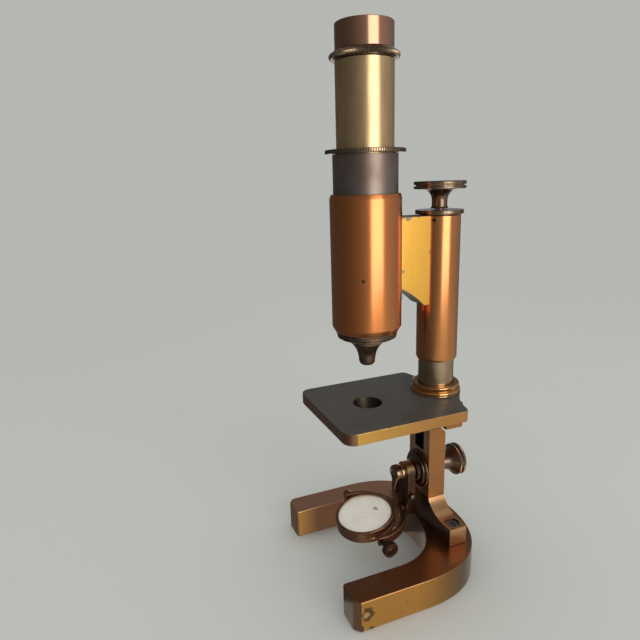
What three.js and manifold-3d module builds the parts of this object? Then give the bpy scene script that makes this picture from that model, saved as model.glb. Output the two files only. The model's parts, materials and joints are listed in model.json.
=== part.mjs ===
// Small brass compound microscope on a horseshoe foot, with a push-tube coarse focus,
// a screw fine focus on the column, a fixed stage and a swinging double mirror.
// Millimetres, +Z up, the open end of the foot towards -Y, symmetric about X = 0.
import * as THREE from 'three';
import { mergeVertices } from 'three/addons/utils/BufferGeometryUtils.js';
import Module from 'manifold-3d';

const wasm = await Module();
wasm.setup();

// Driving dimensions.
const GAP = 0.3; // clearance kept between touching pieces
const TUBE_Y = -12.55; // the optical axis
const COLUMN_Y = TUBE_Y + 38.4; // the fine-focus column's axis

const BASE_HALF_WIDTH = 43.9;
const BASE_HEIGHT = 15.2;
const BASE_FRONT_Y = -41.15;
const BASE_BACK_Y = 37.45;
const BASE_CHAMFER = 2.6;
const ARM_INNER_X = 29.8;
const ARM_INNER_BACK_Y = 14.75;

const PILLAR_HALF_WIDTH = 9.3;
const PILLAR_FRONT_Y = 17.05;
const PILLAR_BACK_Y = 26.4;
const FOOT_TOP_Z = 24.4;
const FOOT_NECK_Z = 31.0;
const PILLAR_TOP_Z = 68.8;
const FOOT_HALF_LENGTH = 28.5;
const FOOT_SCREW_X = 23.5;

const STAGE_TOP_Z = 85.85;
const STAGE_THICKNESS = 5.35;
const STAGE_HALF_WIDTH = 29.25;
const STAGE_FRONT_Y = -36.85;
const STAGE_BACK_Y = 25.0;
const STAGE_HOLE_TOP_R = 7.1; // the light hole narrows downwards
const STAGE_HOLE_FOOT_R = 5.5;
const LUG_R = 12.4;

const POST_R = 8.75;
const COLUMN_R = 10.05;
const COLUMN_BORE_R = 8.95;
const COLUMN_BOTTOM_Z = 103.3;
const COLUMN_TOP_Z = 173.4;
const CAP_R = 11.2;
const KNOB_R = 12;

const SLEEVE_R = 16.1;
const SLEEVE_BOTTOM_Z = 122.6;
const SLEEVE_TOP_Z = 184.1;
const BODY_R = 14.3;
const BODY_BORE_R = 12.8;
const BODY_TOP_Z = 200.8;
const DRAW_R = 12.5;
const DRAW_BORE_R = 11.9;
const DRAW_BOTTOM_Z = 184;
const DRAW_TOP_Z = 237.8;
const EYEPIECE_TOP_Z = 252.2;

const PIVOT_Z = 44; // the mirror bar's pivot, along Y through the pillar
const MIRROR_Z = 23.3; // the fork's stem, along Y through the mirror bar
const MIRROR_Y = TUBE_Y - 1.8;
const FORK_SWIVEL = THREE.MathUtils.degToRad(3);
const MIRROR_TILT = THREE.MathUtils.degToRad(10);
const BAR_FRONT_Y = 7.55;
const BAR_BACK_Y = 11.75;
const BAR_HALF_WIDTH = 5.1;

// Shape helpers. Profiles are lists of [radius, height].

function outward(geometry) {
  const plain = geometry.index ? geometry.toNonIndexed() : geometry;
  plain.deleteAttribute('normal');
  plain.deleteAttribute('uv');
  const merged = mergeVertices(plain, 1e-4);
  const corner = merged.index.array;
  const point = merged.attributes.position;
  const a = new THREE.Vector3();
  const b = new THREE.Vector3();
  const c = new THREE.Vector3();
  const kept = [];
  let volume = 0;
  for (let i = 0; i < corner.length; i += 3) {
    const [p, q, r] = [corner[i], corner[i + 1], corner[i + 2]];
    if (p === q || q === r || p === r) continue;
    kept.push(p, q, r);
    a.fromBufferAttribute(point, p);
    b.fromBufferAttribute(point, q);
    c.fromBufferAttribute(point, r);
    volume += a.dot(b.cross(c));
  }
  if (volume < 0) kept.reverse();
  merged.setIndex(kept);
  return merged;
}

function turned(profile, segments = 24) {
  const points = profile.map(([r, z]) => new THREE.Vector2(r, z));
  const geometry = new THREE.LatheGeometry(points, segments);
  geometry.rotateX(Math.PI / 2);
  return outward(geometry);
}

function disc(radius, z0, z1, segments = 20) {
  return turned([[0, z0], [radius, z0], [radius, z1], [0, z1]], segments);
}

function ring(inner, outer, z0, z1, segments = 24) {
  return turned([[inner, z0], [outer, z0], [outer, z1], [inner, z1], [inner, z0]], segments);
}

function block(x0, x1, y0, y1, z0, z1) {
  const geometry = new THREE.BoxGeometry(x1 - x0, y1 - y0, z1 - z0);
  geometry.translate((x0 + x1) / 2, (y0 + y1) / 2, (z0 + z1) / 2);
  return outward(geometry);
}

function plate(shape, depth, curveSegments = 8) {
  return outward(new THREE.ExtrudeGeometry(shape, { depth, bevelEnabled: false, curveSegments }));
}

// Turned pieces are made on +Z, and these lay them along Y or X.
function alongY(geometry) {
  return geometry.rotateX(-Math.PI / 2);
}

function alongX(geometry) {
  return geometry.rotateY(Math.PI / 2);
}

function solid(geometry) {
  const vertProperties = Float32Array.from(geometry.attributes.position.array);
  const triVerts = Uint32Array.from(geometry.index.array);
  return new wasm.Manifold(new wasm.Mesh({ numProp: 3, vertProperties, triVerts }));
}

function unsolid(body) {
  const mesh = body.getMesh();
  const geometry = new THREE.BufferGeometry();
  geometry.setAttribute('position', new THREE.BufferAttribute(mesh.vertProperties, 3));
  geometry.setIndex(new THREE.BufferAttribute(mesh.triVerts, 1));
  return geometry;
}

function cut(geometry, ...tools) {
  return unsolid(tools.reduce((body, tool) => body.subtract(solid(tool)), solid(geometry)));
}

function joined(geometry, ...others) {
  return unsolid(others.reduce((body, other) => body.add(solid(other)), solid(geometry)));
}

function finish(color, roughness, metalness = 1) {
  return new THREE.MeshStandardMaterial({ color, roughness, metalness });
}

const lacquer = () => finish(0xb5652a, 0.28);
const paleBrass = () => finish(0xb09a68, 0.32);
const darkBronze = () => finish(0x4a3a30, 0.42);
const blackLacquer = () => finish(0x1d1b1a, 0.4, 0.1);
const nickel = () => finish(0xa8a08e, 0.3);
const steel = () => finish(0x4b4f5a, 0.35);
const glass = () => finish(0xdfe8e6, 0.05, 0);
const silvering = () => finish(0xe4e2da, 0.12);
const cloth = () => finish(0x33261e, 0.95, 0);

const microscope = new THREE.Group();
microscope.name = 'microscope';

function add(name, geometry, material, parent = microscope) {
  const mesh = new THREE.Mesh(geometry, material);
  mesh.name = name;
  parent.add(mesh);
  return mesh;
}

// Foot: a thick horseshoe with a squarish back and chamfered ends.

function baseShape() {
  const shape = new THREE.Shape();
  const w = BASE_HALF_WIDTH;
  const c = BASE_CHAMFER;
  const outerStart = BASE_BACK_Y - 43;
  const innerStart = ARM_INNER_BACK_Y - 27.3;
  const steps = 18;
  const bow = (half, depth, start, power, t) => [
    half * Math.sign(Math.cos(t)) * Math.abs(Math.cos(t)) ** (2 / power),
    start + depth * Math.sin(t) ** (2 / power),
  ];
  shape.moveTo(ARM_INNER_X + 1, BASE_FRONT_Y);
  shape.lineTo(w - c, BASE_FRONT_Y);
  shape.lineTo(w, BASE_FRONT_Y + c);
  for (let i = 0; i <= steps; i += 1) {
    shape.lineTo(...bow(w, 43, outerStart, 2.4, (Math.PI * i) / steps));
  }
  shape.lineTo(-w, BASE_FRONT_Y + c);
  shape.lineTo(-w + c, BASE_FRONT_Y);
  shape.lineTo(-ARM_INNER_X - 1, BASE_FRONT_Y);
  shape.lineTo(-ARM_INNER_X, BASE_FRONT_Y + 1);
  for (let i = steps; i >= 0; i -= 1) {
    shape.lineTo(...bow(ARM_INNER_X, 27.3, innerStart, 2.2, (Math.PI * i) / steps));
  }
  shape.lineTo(ARM_INNER_X, BASE_FRONT_Y + 1);
  shape.closePath();
  return shape;
}

const FOOT_Y = (PILLAR_FRONT_Y + PILLAR_BACK_Y) / 2;
const sides = [['left', -1], ['right', 1]];

function footScrewHole(side, radius, z0, z1) {
  return disc(radius, z0, z1, 20).translate(side * FOOT_SCREW_X, FOOT_Y, 0);
}

add('horseshoe_base', cut(
  plate(baseShape(), BASE_HEIGHT, 1),
  ...sides.map(([, side]) => footScrewHole(side, 2.2, 5.5, BASE_HEIGHT + 1)),
), lacquer());

function footShape() {
  const shape = new THREE.Shape();
  const bottom = BASE_HEIGHT + GAP;
  const flareX = PILLAR_HALF_WIDTH + 9.5;
  shape.moveTo(-FOOT_HALF_LENGTH, bottom);
  shape.lineTo(FOOT_HALF_LENGTH, bottom);
  shape.lineTo(FOOT_HALF_LENGTH, FOOT_TOP_Z);
  shape.lineTo(flareX, FOOT_TOP_Z);
  shape.quadraticCurveTo(PILLAR_HALF_WIDTH + 2, FOOT_TOP_Z + 2, PILLAR_HALF_WIDTH, FOOT_NECK_Z);
  shape.lineTo(-PILLAR_HALF_WIDTH, FOOT_NECK_Z);
  shape.quadraticCurveTo(-PILLAR_HALF_WIDTH - 2, FOOT_TOP_Z + 2, -flareX, FOOT_TOP_Z);
  shape.lineTo(-FOOT_HALF_LENGTH, FOOT_TOP_Z);
  shape.closePath();
  return shape;
}

const PILLAR_DEPTH = PILLAR_BACK_Y - PILLAR_FRONT_Y;
const FOOT_STUD_TOP_Z = 39.5;

add('pillar_foot', cut(
  plate(footShape(), PILLAR_DEPTH, 6).rotateX(Math.PI / 2).translate(0, PILLAR_BACK_Y, 0),
  ...sides.map(([, side]) => footScrewHole(side, 3.7, FOOT_TOP_Z - 2.6, FOOT_TOP_Z + 1)),
  ...sides.map(([, side]) => footScrewHole(side, 2.2, BASE_HEIGHT - 1, FOOT_TOP_Z)),
  disc(2.8, 20.7, FOOT_NECK_Z + 1, 16).translate(0, FOOT_Y, 0),
), lacquer());

for (const [name, side] of sides) {
  const head = FOOT_TOP_Z - 2.3;
  const screw = turned([
    [0, 6], [1.9, 6], [1.9, head], [3.35, head], [3.35, head + 1.5], [2.9, head + 1.9], [0, head + 1.9],
  ], 20);
  const slot = block(-4, 4, -0.35, 0.35, head + 1.1, head + 3);
  add(`foot_screw_${name}`, cut(screw, slot).translate(side * FOOT_SCREW_X, FOOT_Y, 0), steel());
}

add('foot_stud', disc(2.5, 21, FOOT_STUD_TOP_Z, 16).translate(0, FOOT_Y, 0), steel());

// Pillar: a flat upright bar, grooved in front above the mirror pivot.

const BRACKET_STUD_Y = 23.3;
const pillarShape = new THREE.Shape([
  new THREE.Vector2(PILLAR_FRONT_Y, FOOT_NECK_Z + GAP),
  new THREE.Vector2(PILLAR_BACK_Y, FOOT_NECK_Z + GAP),
  new THREE.Vector2(PILLAR_BACK_Y, PILLAR_TOP_Z - 2.5),
  new THREE.Vector2(PILLAR_BACK_Y - 2.5, PILLAR_TOP_Z),
  new THREE.Vector2(PILLAR_FRONT_Y, PILLAR_TOP_Z),
]);

// An outline drawn in Y and Z, extruded across X and centred on it.
function sideways(shape, halfWidth) {
  const geometry = plate(shape, 2 * halfWidth, 6);
  geometry.rotateX(Math.PI / 2).rotateZ(Math.PI / 2);
  return geometry.translate(-halfWidth, 0, 0);
}

add('pillar', cut(
  sideways(pillarShape, PILLAR_HALF_WIDTH),
  block(-4, 4, PILLAR_FRONT_Y - 1, PILLAR_FRONT_Y + 3.4, 55.6, PILLAR_TOP_Z + 1),
  disc(2.8, FOOT_NECK_Z - 1, FOOT_STUD_TOP_Z + GAP, 16).translate(0, FOOT_Y, 0),
  disc(2.2, 60, PILLAR_TOP_Z + 1, 16).translate(0, BRACKET_STUD_Y, 0),
  alongY(disc(2.6, PILLAR_FRONT_Y - 1, PILLAR_BACK_Y + 1, 20)).translate(0, 0, PIVOT_Z),
), lacquer());

add('bracket_stud', disc(1.9, 60.3, 73.5, 16).translate(0, BRACKET_STUD_Y, 0), steel());

// Stage bracket: the block between pillar and stage, hooked down behind the pillar.

const STAGE_BOTTOM_Z = STAGE_TOP_Z - STAGE_THICKNESS;
const BRACKET_BACK_Y = COLUMN_Y + 10.5;
const BRACKET_TOP_Z = STAGE_BOTTOM_Z - GAP;
const STAGE_SCREW_X = 6.3;
const STAGE_SCREW_Y = COLUMN_Y + 6.8;
const STAGE_SCREW_SEAT_Z = PILLAR_TOP_Z + 0.4;
const bracketShape = new THREE.Shape([
  new THREE.Vector2(PILLAR_FRONT_Y, PILLAR_TOP_Z + GAP),
  new THREE.Vector2(PILLAR_BACK_Y + GAP, PILLAR_TOP_Z + GAP),
  new THREE.Vector2(PILLAR_BACK_Y + GAP, PILLAR_TOP_Z - 1.7),
  new THREE.Vector2(BRACKET_BACK_Y, PILLAR_TOP_Z - 1.7),
  new THREE.Vector2(BRACKET_BACK_Y, BRACKET_TOP_Z),
  new THREE.Vector2(PILLAR_FRONT_Y, BRACKET_TOP_Z),
]);

function stageScrewHole(side, z0, z1) {
  return disc(1.6, z0, z1, 12).translate(side * STAGE_SCREW_X, STAGE_SCREW_Y, 0);
}

add('stage_bracket', cut(
  sideways(bracketShape, PILLAR_HALF_WIDTH),
  disc(6.3, 75, BRACKET_TOP_Z + 1, 24).translate(0, COLUMN_Y, 0),
  disc(2.2, PILLAR_TOP_Z - 1, 73.8, 16).translate(0, BRACKET_STUD_Y, 0),
  ...sides.map(([, side]) => stageScrewHole(side, 60, BRACKET_TOP_Z + 1)),
  ...sides.map(([, side]) => disc(2.7, 60, STAGE_SCREW_SEAT_Z, 16)
    .translate(side * STAGE_SCREW_X, STAGE_SCREW_Y, 0)),
), lacquer());

// Stage: a plate that narrows at the back to a round lug under the column.

function stageShape() {
  const shape = new THREE.Shape();
  const w = STAGE_HALF_WIDTH;
  const front = STAGE_FRONT_Y;
  const r = 5.5;
  const lugX = 9.4;
  const lugY = COLUMN_Y + Math.sqrt(LUG_R ** 2 - lugX ** 2);
  const lugAngle = Math.atan2(lugY - COLUMN_Y, lugX);
  shape.moveTo(-w + r, front);
  shape.lineTo(w - r, front);
  shape.absarc(w - r, front + r, r, -Math.PI / 2, 0);
  shape.lineTo(w, STAGE_BACK_Y - 2);
  shape.quadraticCurveTo(w, STAGE_BACK_Y, w - 3, STAGE_BACK_Y + 0.7);
  shape.quadraticCurveTo(w - 13, STAGE_BACK_Y + 2.5, lugX, lugY);
  shape.absarc(0, COLUMN_Y, LUG_R, lugAngle, Math.PI - lugAngle);
  shape.quadraticCurveTo(-w + 13, STAGE_BACK_Y + 2.5, -w + 3, STAGE_BACK_Y + 0.7);
  shape.quadraticCurveTo(-w, STAGE_BACK_Y, -w, STAGE_BACK_Y - 2);
  shape.lineTo(-w, front + r);
  shape.absarc(-w + r, front + r, r, Math.PI, Math.PI * 1.5);
  return shape;
}

add('stage_plate', cut(
  plate(stageShape(), STAGE_THICKNESS, 7).translate(0, 0, STAGE_BOTTOM_Z),
  turned([
    [0, STAGE_BOTTOM_Z - 1], [STAGE_HOLE_FOOT_R, STAGE_BOTTOM_Z - 1], [STAGE_HOLE_FOOT_R, STAGE_BOTTOM_Z],
    [STAGE_HOLE_TOP_R, STAGE_TOP_Z], [STAGE_HOLE_TOP_R, STAGE_TOP_Z + 1], [0, STAGE_TOP_Z + 1],
  ], 32).translate(0, TUBE_Y, 0),
  disc(6.3, STAGE_BOTTOM_Z - 1, STAGE_TOP_Z + 1, 24).translate(0, COLUMN_Y, 0),
  ...sides.map(([, side]) => stageScrewHole(side, STAGE_BOTTOM_Z - 1, STAGE_BOTTOM_Z + 3.3)),
), blackLacquer());

for (const [name, side] of sides) {
  const seat = STAGE_SCREW_SEAT_Z - GAP;
  const screw = turned([
    [0, seat - 1.4], [2.4, seat - 1.4], [2.4, seat], [1.3, seat], [1.3, 83.4], [0, 83.4],
  ], 12);
  add(`stage_screw_${name}`, screw.translate(side * STAGE_SCREW_X, STAGE_SCREW_Y, 0), steel());
}

// Column: a fixed post, and over it a tube that the fine-focus screw lifts and lowers.

const column = new THREE.Group();
column.position.set(0, COLUMN_Y, 0);
microscope.add(column);

add('column_collar', turned([
  [9.1, 86.15], [12.3, 86.15], [12.3, 88.5], [11.8, 89.2], [11.6, 90.5], [9.1, 90.9], [9.1, 86.15],
]), lacquer(), column);

const POST_TOP_Z = 150;
const KEY = { half: 1, inner: 7.7, outer: 9.45, bottom: 140, top: 148 };

add('column_post', cut(
  turned([
    [0, 75.3], [6, 75.3], [6, STAGE_TOP_Z + GAP], [POST_R, STAGE_TOP_Z + GAP], [POST_R, POST_TOP_Z],
    [6.5, POST_TOP_Z], [6.5, 95], [0, 95],
  ]),
  block(-KEY.half - GAP, KEY.half + GAP, KEY.inner - GAP, POST_R + 1, KEY.bottom - GAP, KEY.top + GAP),
), nickel(), column);

add('column_key', block(-KEY.half, KEY.half, KEY.inner, KEY.outer, KEY.bottom, KEY.top), steel(), column);

const SET_SCREW_Z = 171.4;
const SET_SCREW_ANGLE = THREE.MathUtils.degToRad(-47);

// Lays a turned piece out along the set screw's line, square to the column's wall.
function radial(geometry) {
  return alongX(geometry).rotateZ(SET_SCREW_ANGLE).translate(0, 0, SET_SCREW_Z);
}

add('column_tube', cut(
  turned([
    [COLUMN_BORE_R, COLUMN_BOTTOM_Z], [COLUMN_R - 0.6, COLUMN_BOTTOM_Z], [COLUMN_R, COLUMN_BOTTOM_Z + 1.2],
    [COLUMN_R, COLUMN_TOP_Z], [COLUMN_BORE_R, COLUMN_TOP_Z], [COLUMN_BORE_R, COLUMN_BOTTOM_Z],
  ]),
  block(-KEY.half - GAP, KEY.half + GAP, 8, KEY.outer + 0.2, KEY.bottom - 3, KEY.top + 3),
  radial(disc(1.15, 8, 12, 12)),
), lacquer(), column);

const PLUG_BOTTOM_Z = 168;
add('column_cap', turned([
  [2.4, PLUG_BOTTOM_Z], [8.6, PLUG_BOTTOM_Z], [8.6, COLUMN_TOP_Z + GAP], [CAP_R, COLUMN_TOP_Z + GAP],
  [CAP_R, 175.6], [2.4, 175.6], [2.4, PLUG_BOTTOM_Z],
]), darkBronze(), column);

add('cap_set_screw', radial(disc(0.85, 8.9, 9.9, 12)), steel(), column);

add('micrometer_nut', ring(2.4, 6.2, 128, 133, 24), paleBrass(), column);
add('micrometer_screw', disc(2.05, 118, 175.9, 16), steel(), column);

add('fine_focus_knob', turned([
  [0, 176.2], [3.6, 176.2], [3.6, 179.6], [4.7, 182.2], [8.6, 184.9], [KNOB_R, 185.1], [KNOB_R, 186.3],
  [KNOB_R - 0.9, 186.65], [KNOB_R, 187], [KNOB_R, 188.5], [0, 188.5],
], 28), darkBronze(), column);

// Return spring between the nut in the post and the cap's plug.
class Helix extends THREE.Curve {
  getPoint(t, target = new THREE.Vector3()) {
    const angle = 2 * Math.PI * 8 * t;
    return target.set(4.4 * Math.cos(angle), 4.4 * Math.sin(angle), 134.2 + 32.6 * t);
  }
}

const wire = new THREE.Shape();
wire.absarc(0, 0, 0.6, 0, 2 * Math.PI);
add('fine_spring', outward(new THREE.ExtrudeGeometry(wire, {
  steps: 80, curveSegments: 3, bevelEnabled: false, extrudePath: new Helix(),
})), steel(), column);

// Arm: a flat web from the column to the tube sleeve, swept down towards the column.

const armShape = new THREE.Shape();
armShape.moveTo(TUBE_Y + 8, COLUMN_TOP_Z);
armShape.lineTo(COLUMN_Y - 4, COLUMN_TOP_Z);
armShape.lineTo(COLUMN_Y - 4, 131.9);
armShape.lineTo(TUBE_Y + 27.2, 131.9);
armShape.quadraticCurveTo(TUBE_Y + 22, 137.2, TUBE_Y + 15, 140.9);
armShape.lineTo(TUBE_Y + 8, 142.5);
armShape.closePath();

add('arm', cut(
  sideways(armShape, 6),
  disc(SLEEVE_R + 0.15, 100, 200, 48).translate(0, TUBE_Y, 0),
  disc(COLUMN_R + 0.15, 100, 200, 48).translate(0, COLUMN_Y, 0),
), lacquer());

// Sleeve, body tube, objective, draw tube and eyepiece share the optical axis.

const tube = new THREE.Group();
tube.position.set(0, TUBE_Y, 0);
microscope.add(tube);

const LINING_BOTTOM_Z = SLEEVE_BOTTOM_Z + 2;
add('tube_sleeve', turned([
  [14.55, SLEEVE_BOTTOM_Z], [14.8, SLEEVE_BOTTOM_Z], [SLEEVE_R, SLEEVE_BOTTOM_Z + 2.5], [SLEEVE_R, 182.2],
  [15.5, SLEEVE_TOP_Z], [15.2, SLEEVE_TOP_Z], [15.2, LINING_BOTTOM_Z - 0.3], [14.55, LINING_BOTTOM_Z - 0.3],
  [14.55, SLEEVE_BOTTOM_Z],
], 28), lacquer(), tube);

add('sleeve_lining', ring(14.5, 14.95, LINING_BOTTOM_Z, 183.6, 28), cloth(), tube);

add('body_tube', ring(BODY_BORE_R, BODY_R, 124.4, BODY_TOP_Z, 28), darkBronze(), tube);

add('tube_flange', turned([
  [BODY_BORE_R, 201.1], [17.5, 201.1], [17.5, 202.4], [17.1, 202.8], [BODY_BORE_R, 202.8],
  [BODY_BORE_R, 201.1],
], 28), darkBronze(), tube);

add('nosepiece', turned([
  [9.9, 120.4], [14.2, 120.4], [14.2, 124.1], [12.5, 124.1], [12.5, 129], [9.9, 129], [9.9, 120.4],
]), darkBronze(), tube);

add('objective_collar', turned([
  [7.2, 118.2], [10.3, 118.2], [13.7, 119.5], [13.7, 120.1], [9.6, 120.1], [9.6, 126], [7.2, 126],
  [7.2, 118.2],
]), darkBronze(), tube);

add('objective_barrel', turned([
  [1.6, 105.6], [2.9, 105.6], [3.5, 106.4], [4.0, 109.4], [5.4, 113.5], [8.4, 117.1], [8.4, 117.9],
  [6.9, 117.9], [6.9, 124], [5.9, 124], [5.9, 118], [1.6, 109.6], [1.6, 105.6],
]), darkBronze(), tube);

add('objective_front_lens', disc(1.35, 105.9, 107.3, 12), glass(), tube);
add('objective_rear_lens', turned([
  [0, 120.2], [3, 120.4], [5.6, 121.2], [5.6, 122.6], [0, 122.6],
], 20), glass(), tube);

add('draw_tube', ring(DRAW_BORE_R, DRAW_R, DRAW_BOTTOM_Z, DRAW_TOP_Z, 28), paleBrass(), tube);
add('draw_tube_stop', ring(7, 11.6, DRAW_BOTTOM_Z + 2, DRAW_BOTTOM_Z + 3.2, 20), blackLacquer(), tube);

add('eyepiece_barrel', ring(10.8, 11.6, 210, DRAW_TOP_Z, 20), paleBrass(), tube);
add('eyepiece_ring', turned([
  [10.8, 238.1], [13.6, 238.1], [14.9, 238.9], [14.9, 240.1], [13.9, 241.2], [13, 241.5], [10.8, 241.5],
  [10.8, 238.1],
], 28), darkBronze(), tube);
add('eyepiece_head', turned([
  [11.1, 241.8], [12.35, 241.8], [12.35, 251.8], [12, EYEPIECE_TOP_Z], [11.1, EYEPIECE_TOP_Z], [11.1, 241.8],
], 28), lacquer(), tube);
add('eyepiece_disc', turned([
  [4.2, 248.6], [10.8, 248.6], [10.8, 250.6], [8.5, 250.6], [4.8, 249.4], [4.2, 248.6],
], 20), blackLacquer(), tube);
add('eye_lens', turned([
  [0, 245.6], [6.5, 245.6], [6.5, 246.8], [3.6, 247.9], [0, 248.2],
], 20), glass(), tube);
add('field_stop', ring(6, 10.5, 227, 228, 20), blackLacquer(), tube);
add('field_lens', turned([[0, 211], [10.4, 211], [10.4, 212], [5.8, 213.8], [0, 214.4]], 24), glass(), tube);

// Mirror bar and its pivot through the pillar.

const pivot = new THREE.Group();
pivot.position.set(0, 0, PIVOT_Z);
microscope.add(pivot);

add('pivot_boss', alongY(turned([
  [2.6, 13.1], [5.6, 13.1], [6.1, 14.1], [8.5, 14.4], [8.5, 15.3], [9.9, 15.6], [9.9, PILLAR_FRONT_Y - GAP],
  [2.6, PILLAR_FRONT_Y - GAP], [2.6, 13.1],
])), darkBronze(), pivot);

add('clamp_bolt', alongY(disc(2.3, 2.6, 35, 16)), steel(), pivot);

add('clamp_knob', alongY(turned([
  [2.6, 26.7], [3.9, 26.7], [3.9, 30.5], [5.1, 34], [8.3, 37.7], [8.3, 38.7], [7.7, 39.15], [8.3, 39.6],
  [8.3, 41.15], [0, 41.15], [0, 35.3], [2.6, 35.3], [2.6, 26.7],
])), darkBronze(), pivot);

add('pivot_washer', alongY(ring(2.6, 3.7, 5.6, 6.6, 20)), paleBrass(), pivot);
add('pivot_nut', alongY(turned([
  [2.6, 5.3], [4.3, 4.7], [4.3, 1.95], [0, 1.95], [0, 2.3], [2.6, 2.3], [2.6, 5.3],
], 20)), darkBronze(), pivot);

function barShape() {
  const shape = new THREE.Shape();
  shape.absarc(0, PIVOT_Z, BAR_HALF_WIDTH, 0, Math.PI);
  shape.absarc(0, MIRROR_Z, BAR_HALF_WIDTH, Math.PI, 2 * Math.PI);
  shape.closePath();
  return shape;
}

const CLAMP_SCREW_Z = 31.5;
const BAR_MIDDLE_Y = (BAR_FRONT_Y + BAR_BACK_Y) / 2;
const barHub = alongY(disc(3.9, 6.9, 12.8, 24)).translate(0, 0, PIVOT_Z);

add('mirror_bar', cut(
  joined(
    plate(barShape(), BAR_BACK_Y - BAR_FRONT_Y, 10).rotateX(Math.PI / 2).translate(0, BAR_BACK_Y, 0),
    barHub,
  ),
  alongY(disc(2.6, 0, 20, 20)).translate(0, 0, PIVOT_Z),
  alongY(disc(1.9, 0, 20, 16)).translate(0, 0, MIRROR_Z),
  alongX(disc(1.1, -8, 8, 12)).translate(0, BAR_MIDDLE_Y, CLAMP_SCREW_Z),
  block(-0.4, 0.4, 0, 20, 15, CLAMP_SCREW_Z + 3),
), darkBronze());

add('stem_clamp_screw', alongX(turned([
  [0, -9], [4, -9], [4, -5.8], [1.9, -5.4], [0.8, -5.4], [0.8, 6.2], [0, 6.2],
], 16)).translate(0, BAR_MIDDLE_Y, CLAMP_SCREW_Z), darkBronze());
add('stem_clamp_nut', alongX(turned([
  [1.1, 5.4], [1.9, 5.4], [1.9, 6.7], [0, 7.7], [0, 6.5], [1.1, 6.5], [1.1, 5.4],
], 12)).translate(0, BAR_MIDDLE_Y, CLAMP_SCREW_Z), paleBrass());

// Fork: a half ring on a stem, turned a little about the stem.

const FORK_INNER_R = 17.6;
const FORK_OUTER_R = 20;
const fork = new THREE.Group();
fork.position.set(0, MIRROR_Y, MIRROR_Z);
fork.rotation.y = FORK_SWIVEL;
microscope.add(fork);

function forkShape() {
  const past = 0.14;
  const shape = new THREE.Shape();
  shape.absarc(0, 0, FORK_OUTER_R, -past, Math.PI + past);
  shape.absarc(0, 0, FORK_INNER_R, Math.PI + past, -past, true);
  shape.closePath();
  return shape;
}

const FORK_TO_BAR = BAR_FRONT_Y - MIRROR_Y;
add('mirror_fork', cut(
  joined(
    plate(forkShape(), 4.4, 16).translate(0, 0, -2.2),
    alongY(turned([
      [0, 18.6], [2.6, 18.6], [2.6, FORK_TO_BAR - GAP], [1.6, FORK_TO_BAR - GAP], [1.6, 28.2], [0, 28.2],
    ], 20)),
  ),
  alongX(disc(1.3, -22, 22, 12)),
), lacquer(), fork);

add('stem_nut', alongY(ring(1.9, 3.3, 26.4, 28, 6)), darkBronze(), fork);

add('mirror_thumb_screw', alongX(turned([
  [0, 15.2], [1, 15.2], [1, 20.3], [1.8, 20.3], [1.8, 23.8], [3.8, 24.5], [3.8, 27.1], [0, 27.1],
], 16)), darkBronze(), fork);
add('mirror_pivot_screw', alongX(turned([
  [0, 15.2], [1, 15.2], [1, 20.3], [2.3, 20.3], [2.3, 22.4], [0, 22.4],
], 12)).rotateY(Math.PI), darkBronze(), fork);

const cell = new THREE.Group();
cell.rotation.x = MIRROR_TILT;
fork.add(cell);

add('mirror_cell', cut(
  turned([
    [0, -0.5], [14.1, -0.5], [14.1, -3], [15, -3], [15, 3], [14.1, 3], [14.1, 0.5], [0, 0.5],
  ], 32),
  alongX(disc(1.25, 14.6, 17, 12)),
  alongX(disc(1.25, -17, -14.6, 12)),
), darkBronze(), cell);
add('plane_mirror', disc(13.8, 0.8, 2.2, 32), silvering(), cell);
add('concave_mirror', turned([
  [0, -0.8], [13.8, -0.8], [13.8, -2.2], [8, -1.7], [0, -1.5],
], 32), silvering(), cell);
add('plane_bezel', ring(13.1, 13.8, 2.5, 2.95, 32), paleBrass(), cell);
add('concave_bezel', ring(13.1, 13.8, -2.95, -2.5, 32), paleBrass(), cell);

export default microscope;
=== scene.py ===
import json
from math import atan2, cos, hypot, pi, radians, sin

import bmesh
import bpy
from mathutils import Matrix, Vector


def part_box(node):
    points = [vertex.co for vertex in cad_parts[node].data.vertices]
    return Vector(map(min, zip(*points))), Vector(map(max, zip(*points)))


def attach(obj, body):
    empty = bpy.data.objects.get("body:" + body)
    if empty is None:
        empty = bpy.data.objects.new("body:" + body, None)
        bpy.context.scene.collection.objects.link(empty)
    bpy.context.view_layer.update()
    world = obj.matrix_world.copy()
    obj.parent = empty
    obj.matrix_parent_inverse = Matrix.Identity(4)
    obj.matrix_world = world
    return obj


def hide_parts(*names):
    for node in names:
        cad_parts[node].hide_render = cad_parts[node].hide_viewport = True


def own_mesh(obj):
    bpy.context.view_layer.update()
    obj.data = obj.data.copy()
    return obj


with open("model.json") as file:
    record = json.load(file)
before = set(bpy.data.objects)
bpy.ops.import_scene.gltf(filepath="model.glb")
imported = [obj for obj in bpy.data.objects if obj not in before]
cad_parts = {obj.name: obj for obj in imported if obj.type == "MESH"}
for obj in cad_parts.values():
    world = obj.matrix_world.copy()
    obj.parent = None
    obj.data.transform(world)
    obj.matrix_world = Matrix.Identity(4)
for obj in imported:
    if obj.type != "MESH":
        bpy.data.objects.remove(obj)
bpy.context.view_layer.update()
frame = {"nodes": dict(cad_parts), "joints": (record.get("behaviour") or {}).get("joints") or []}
mm = 0.001

# ---- The camera ----------------------------------------------------------------------------------------------------
# It stands at the right front corner of the microscope, a little below the eyepiece, and looks down across the stage.

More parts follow.
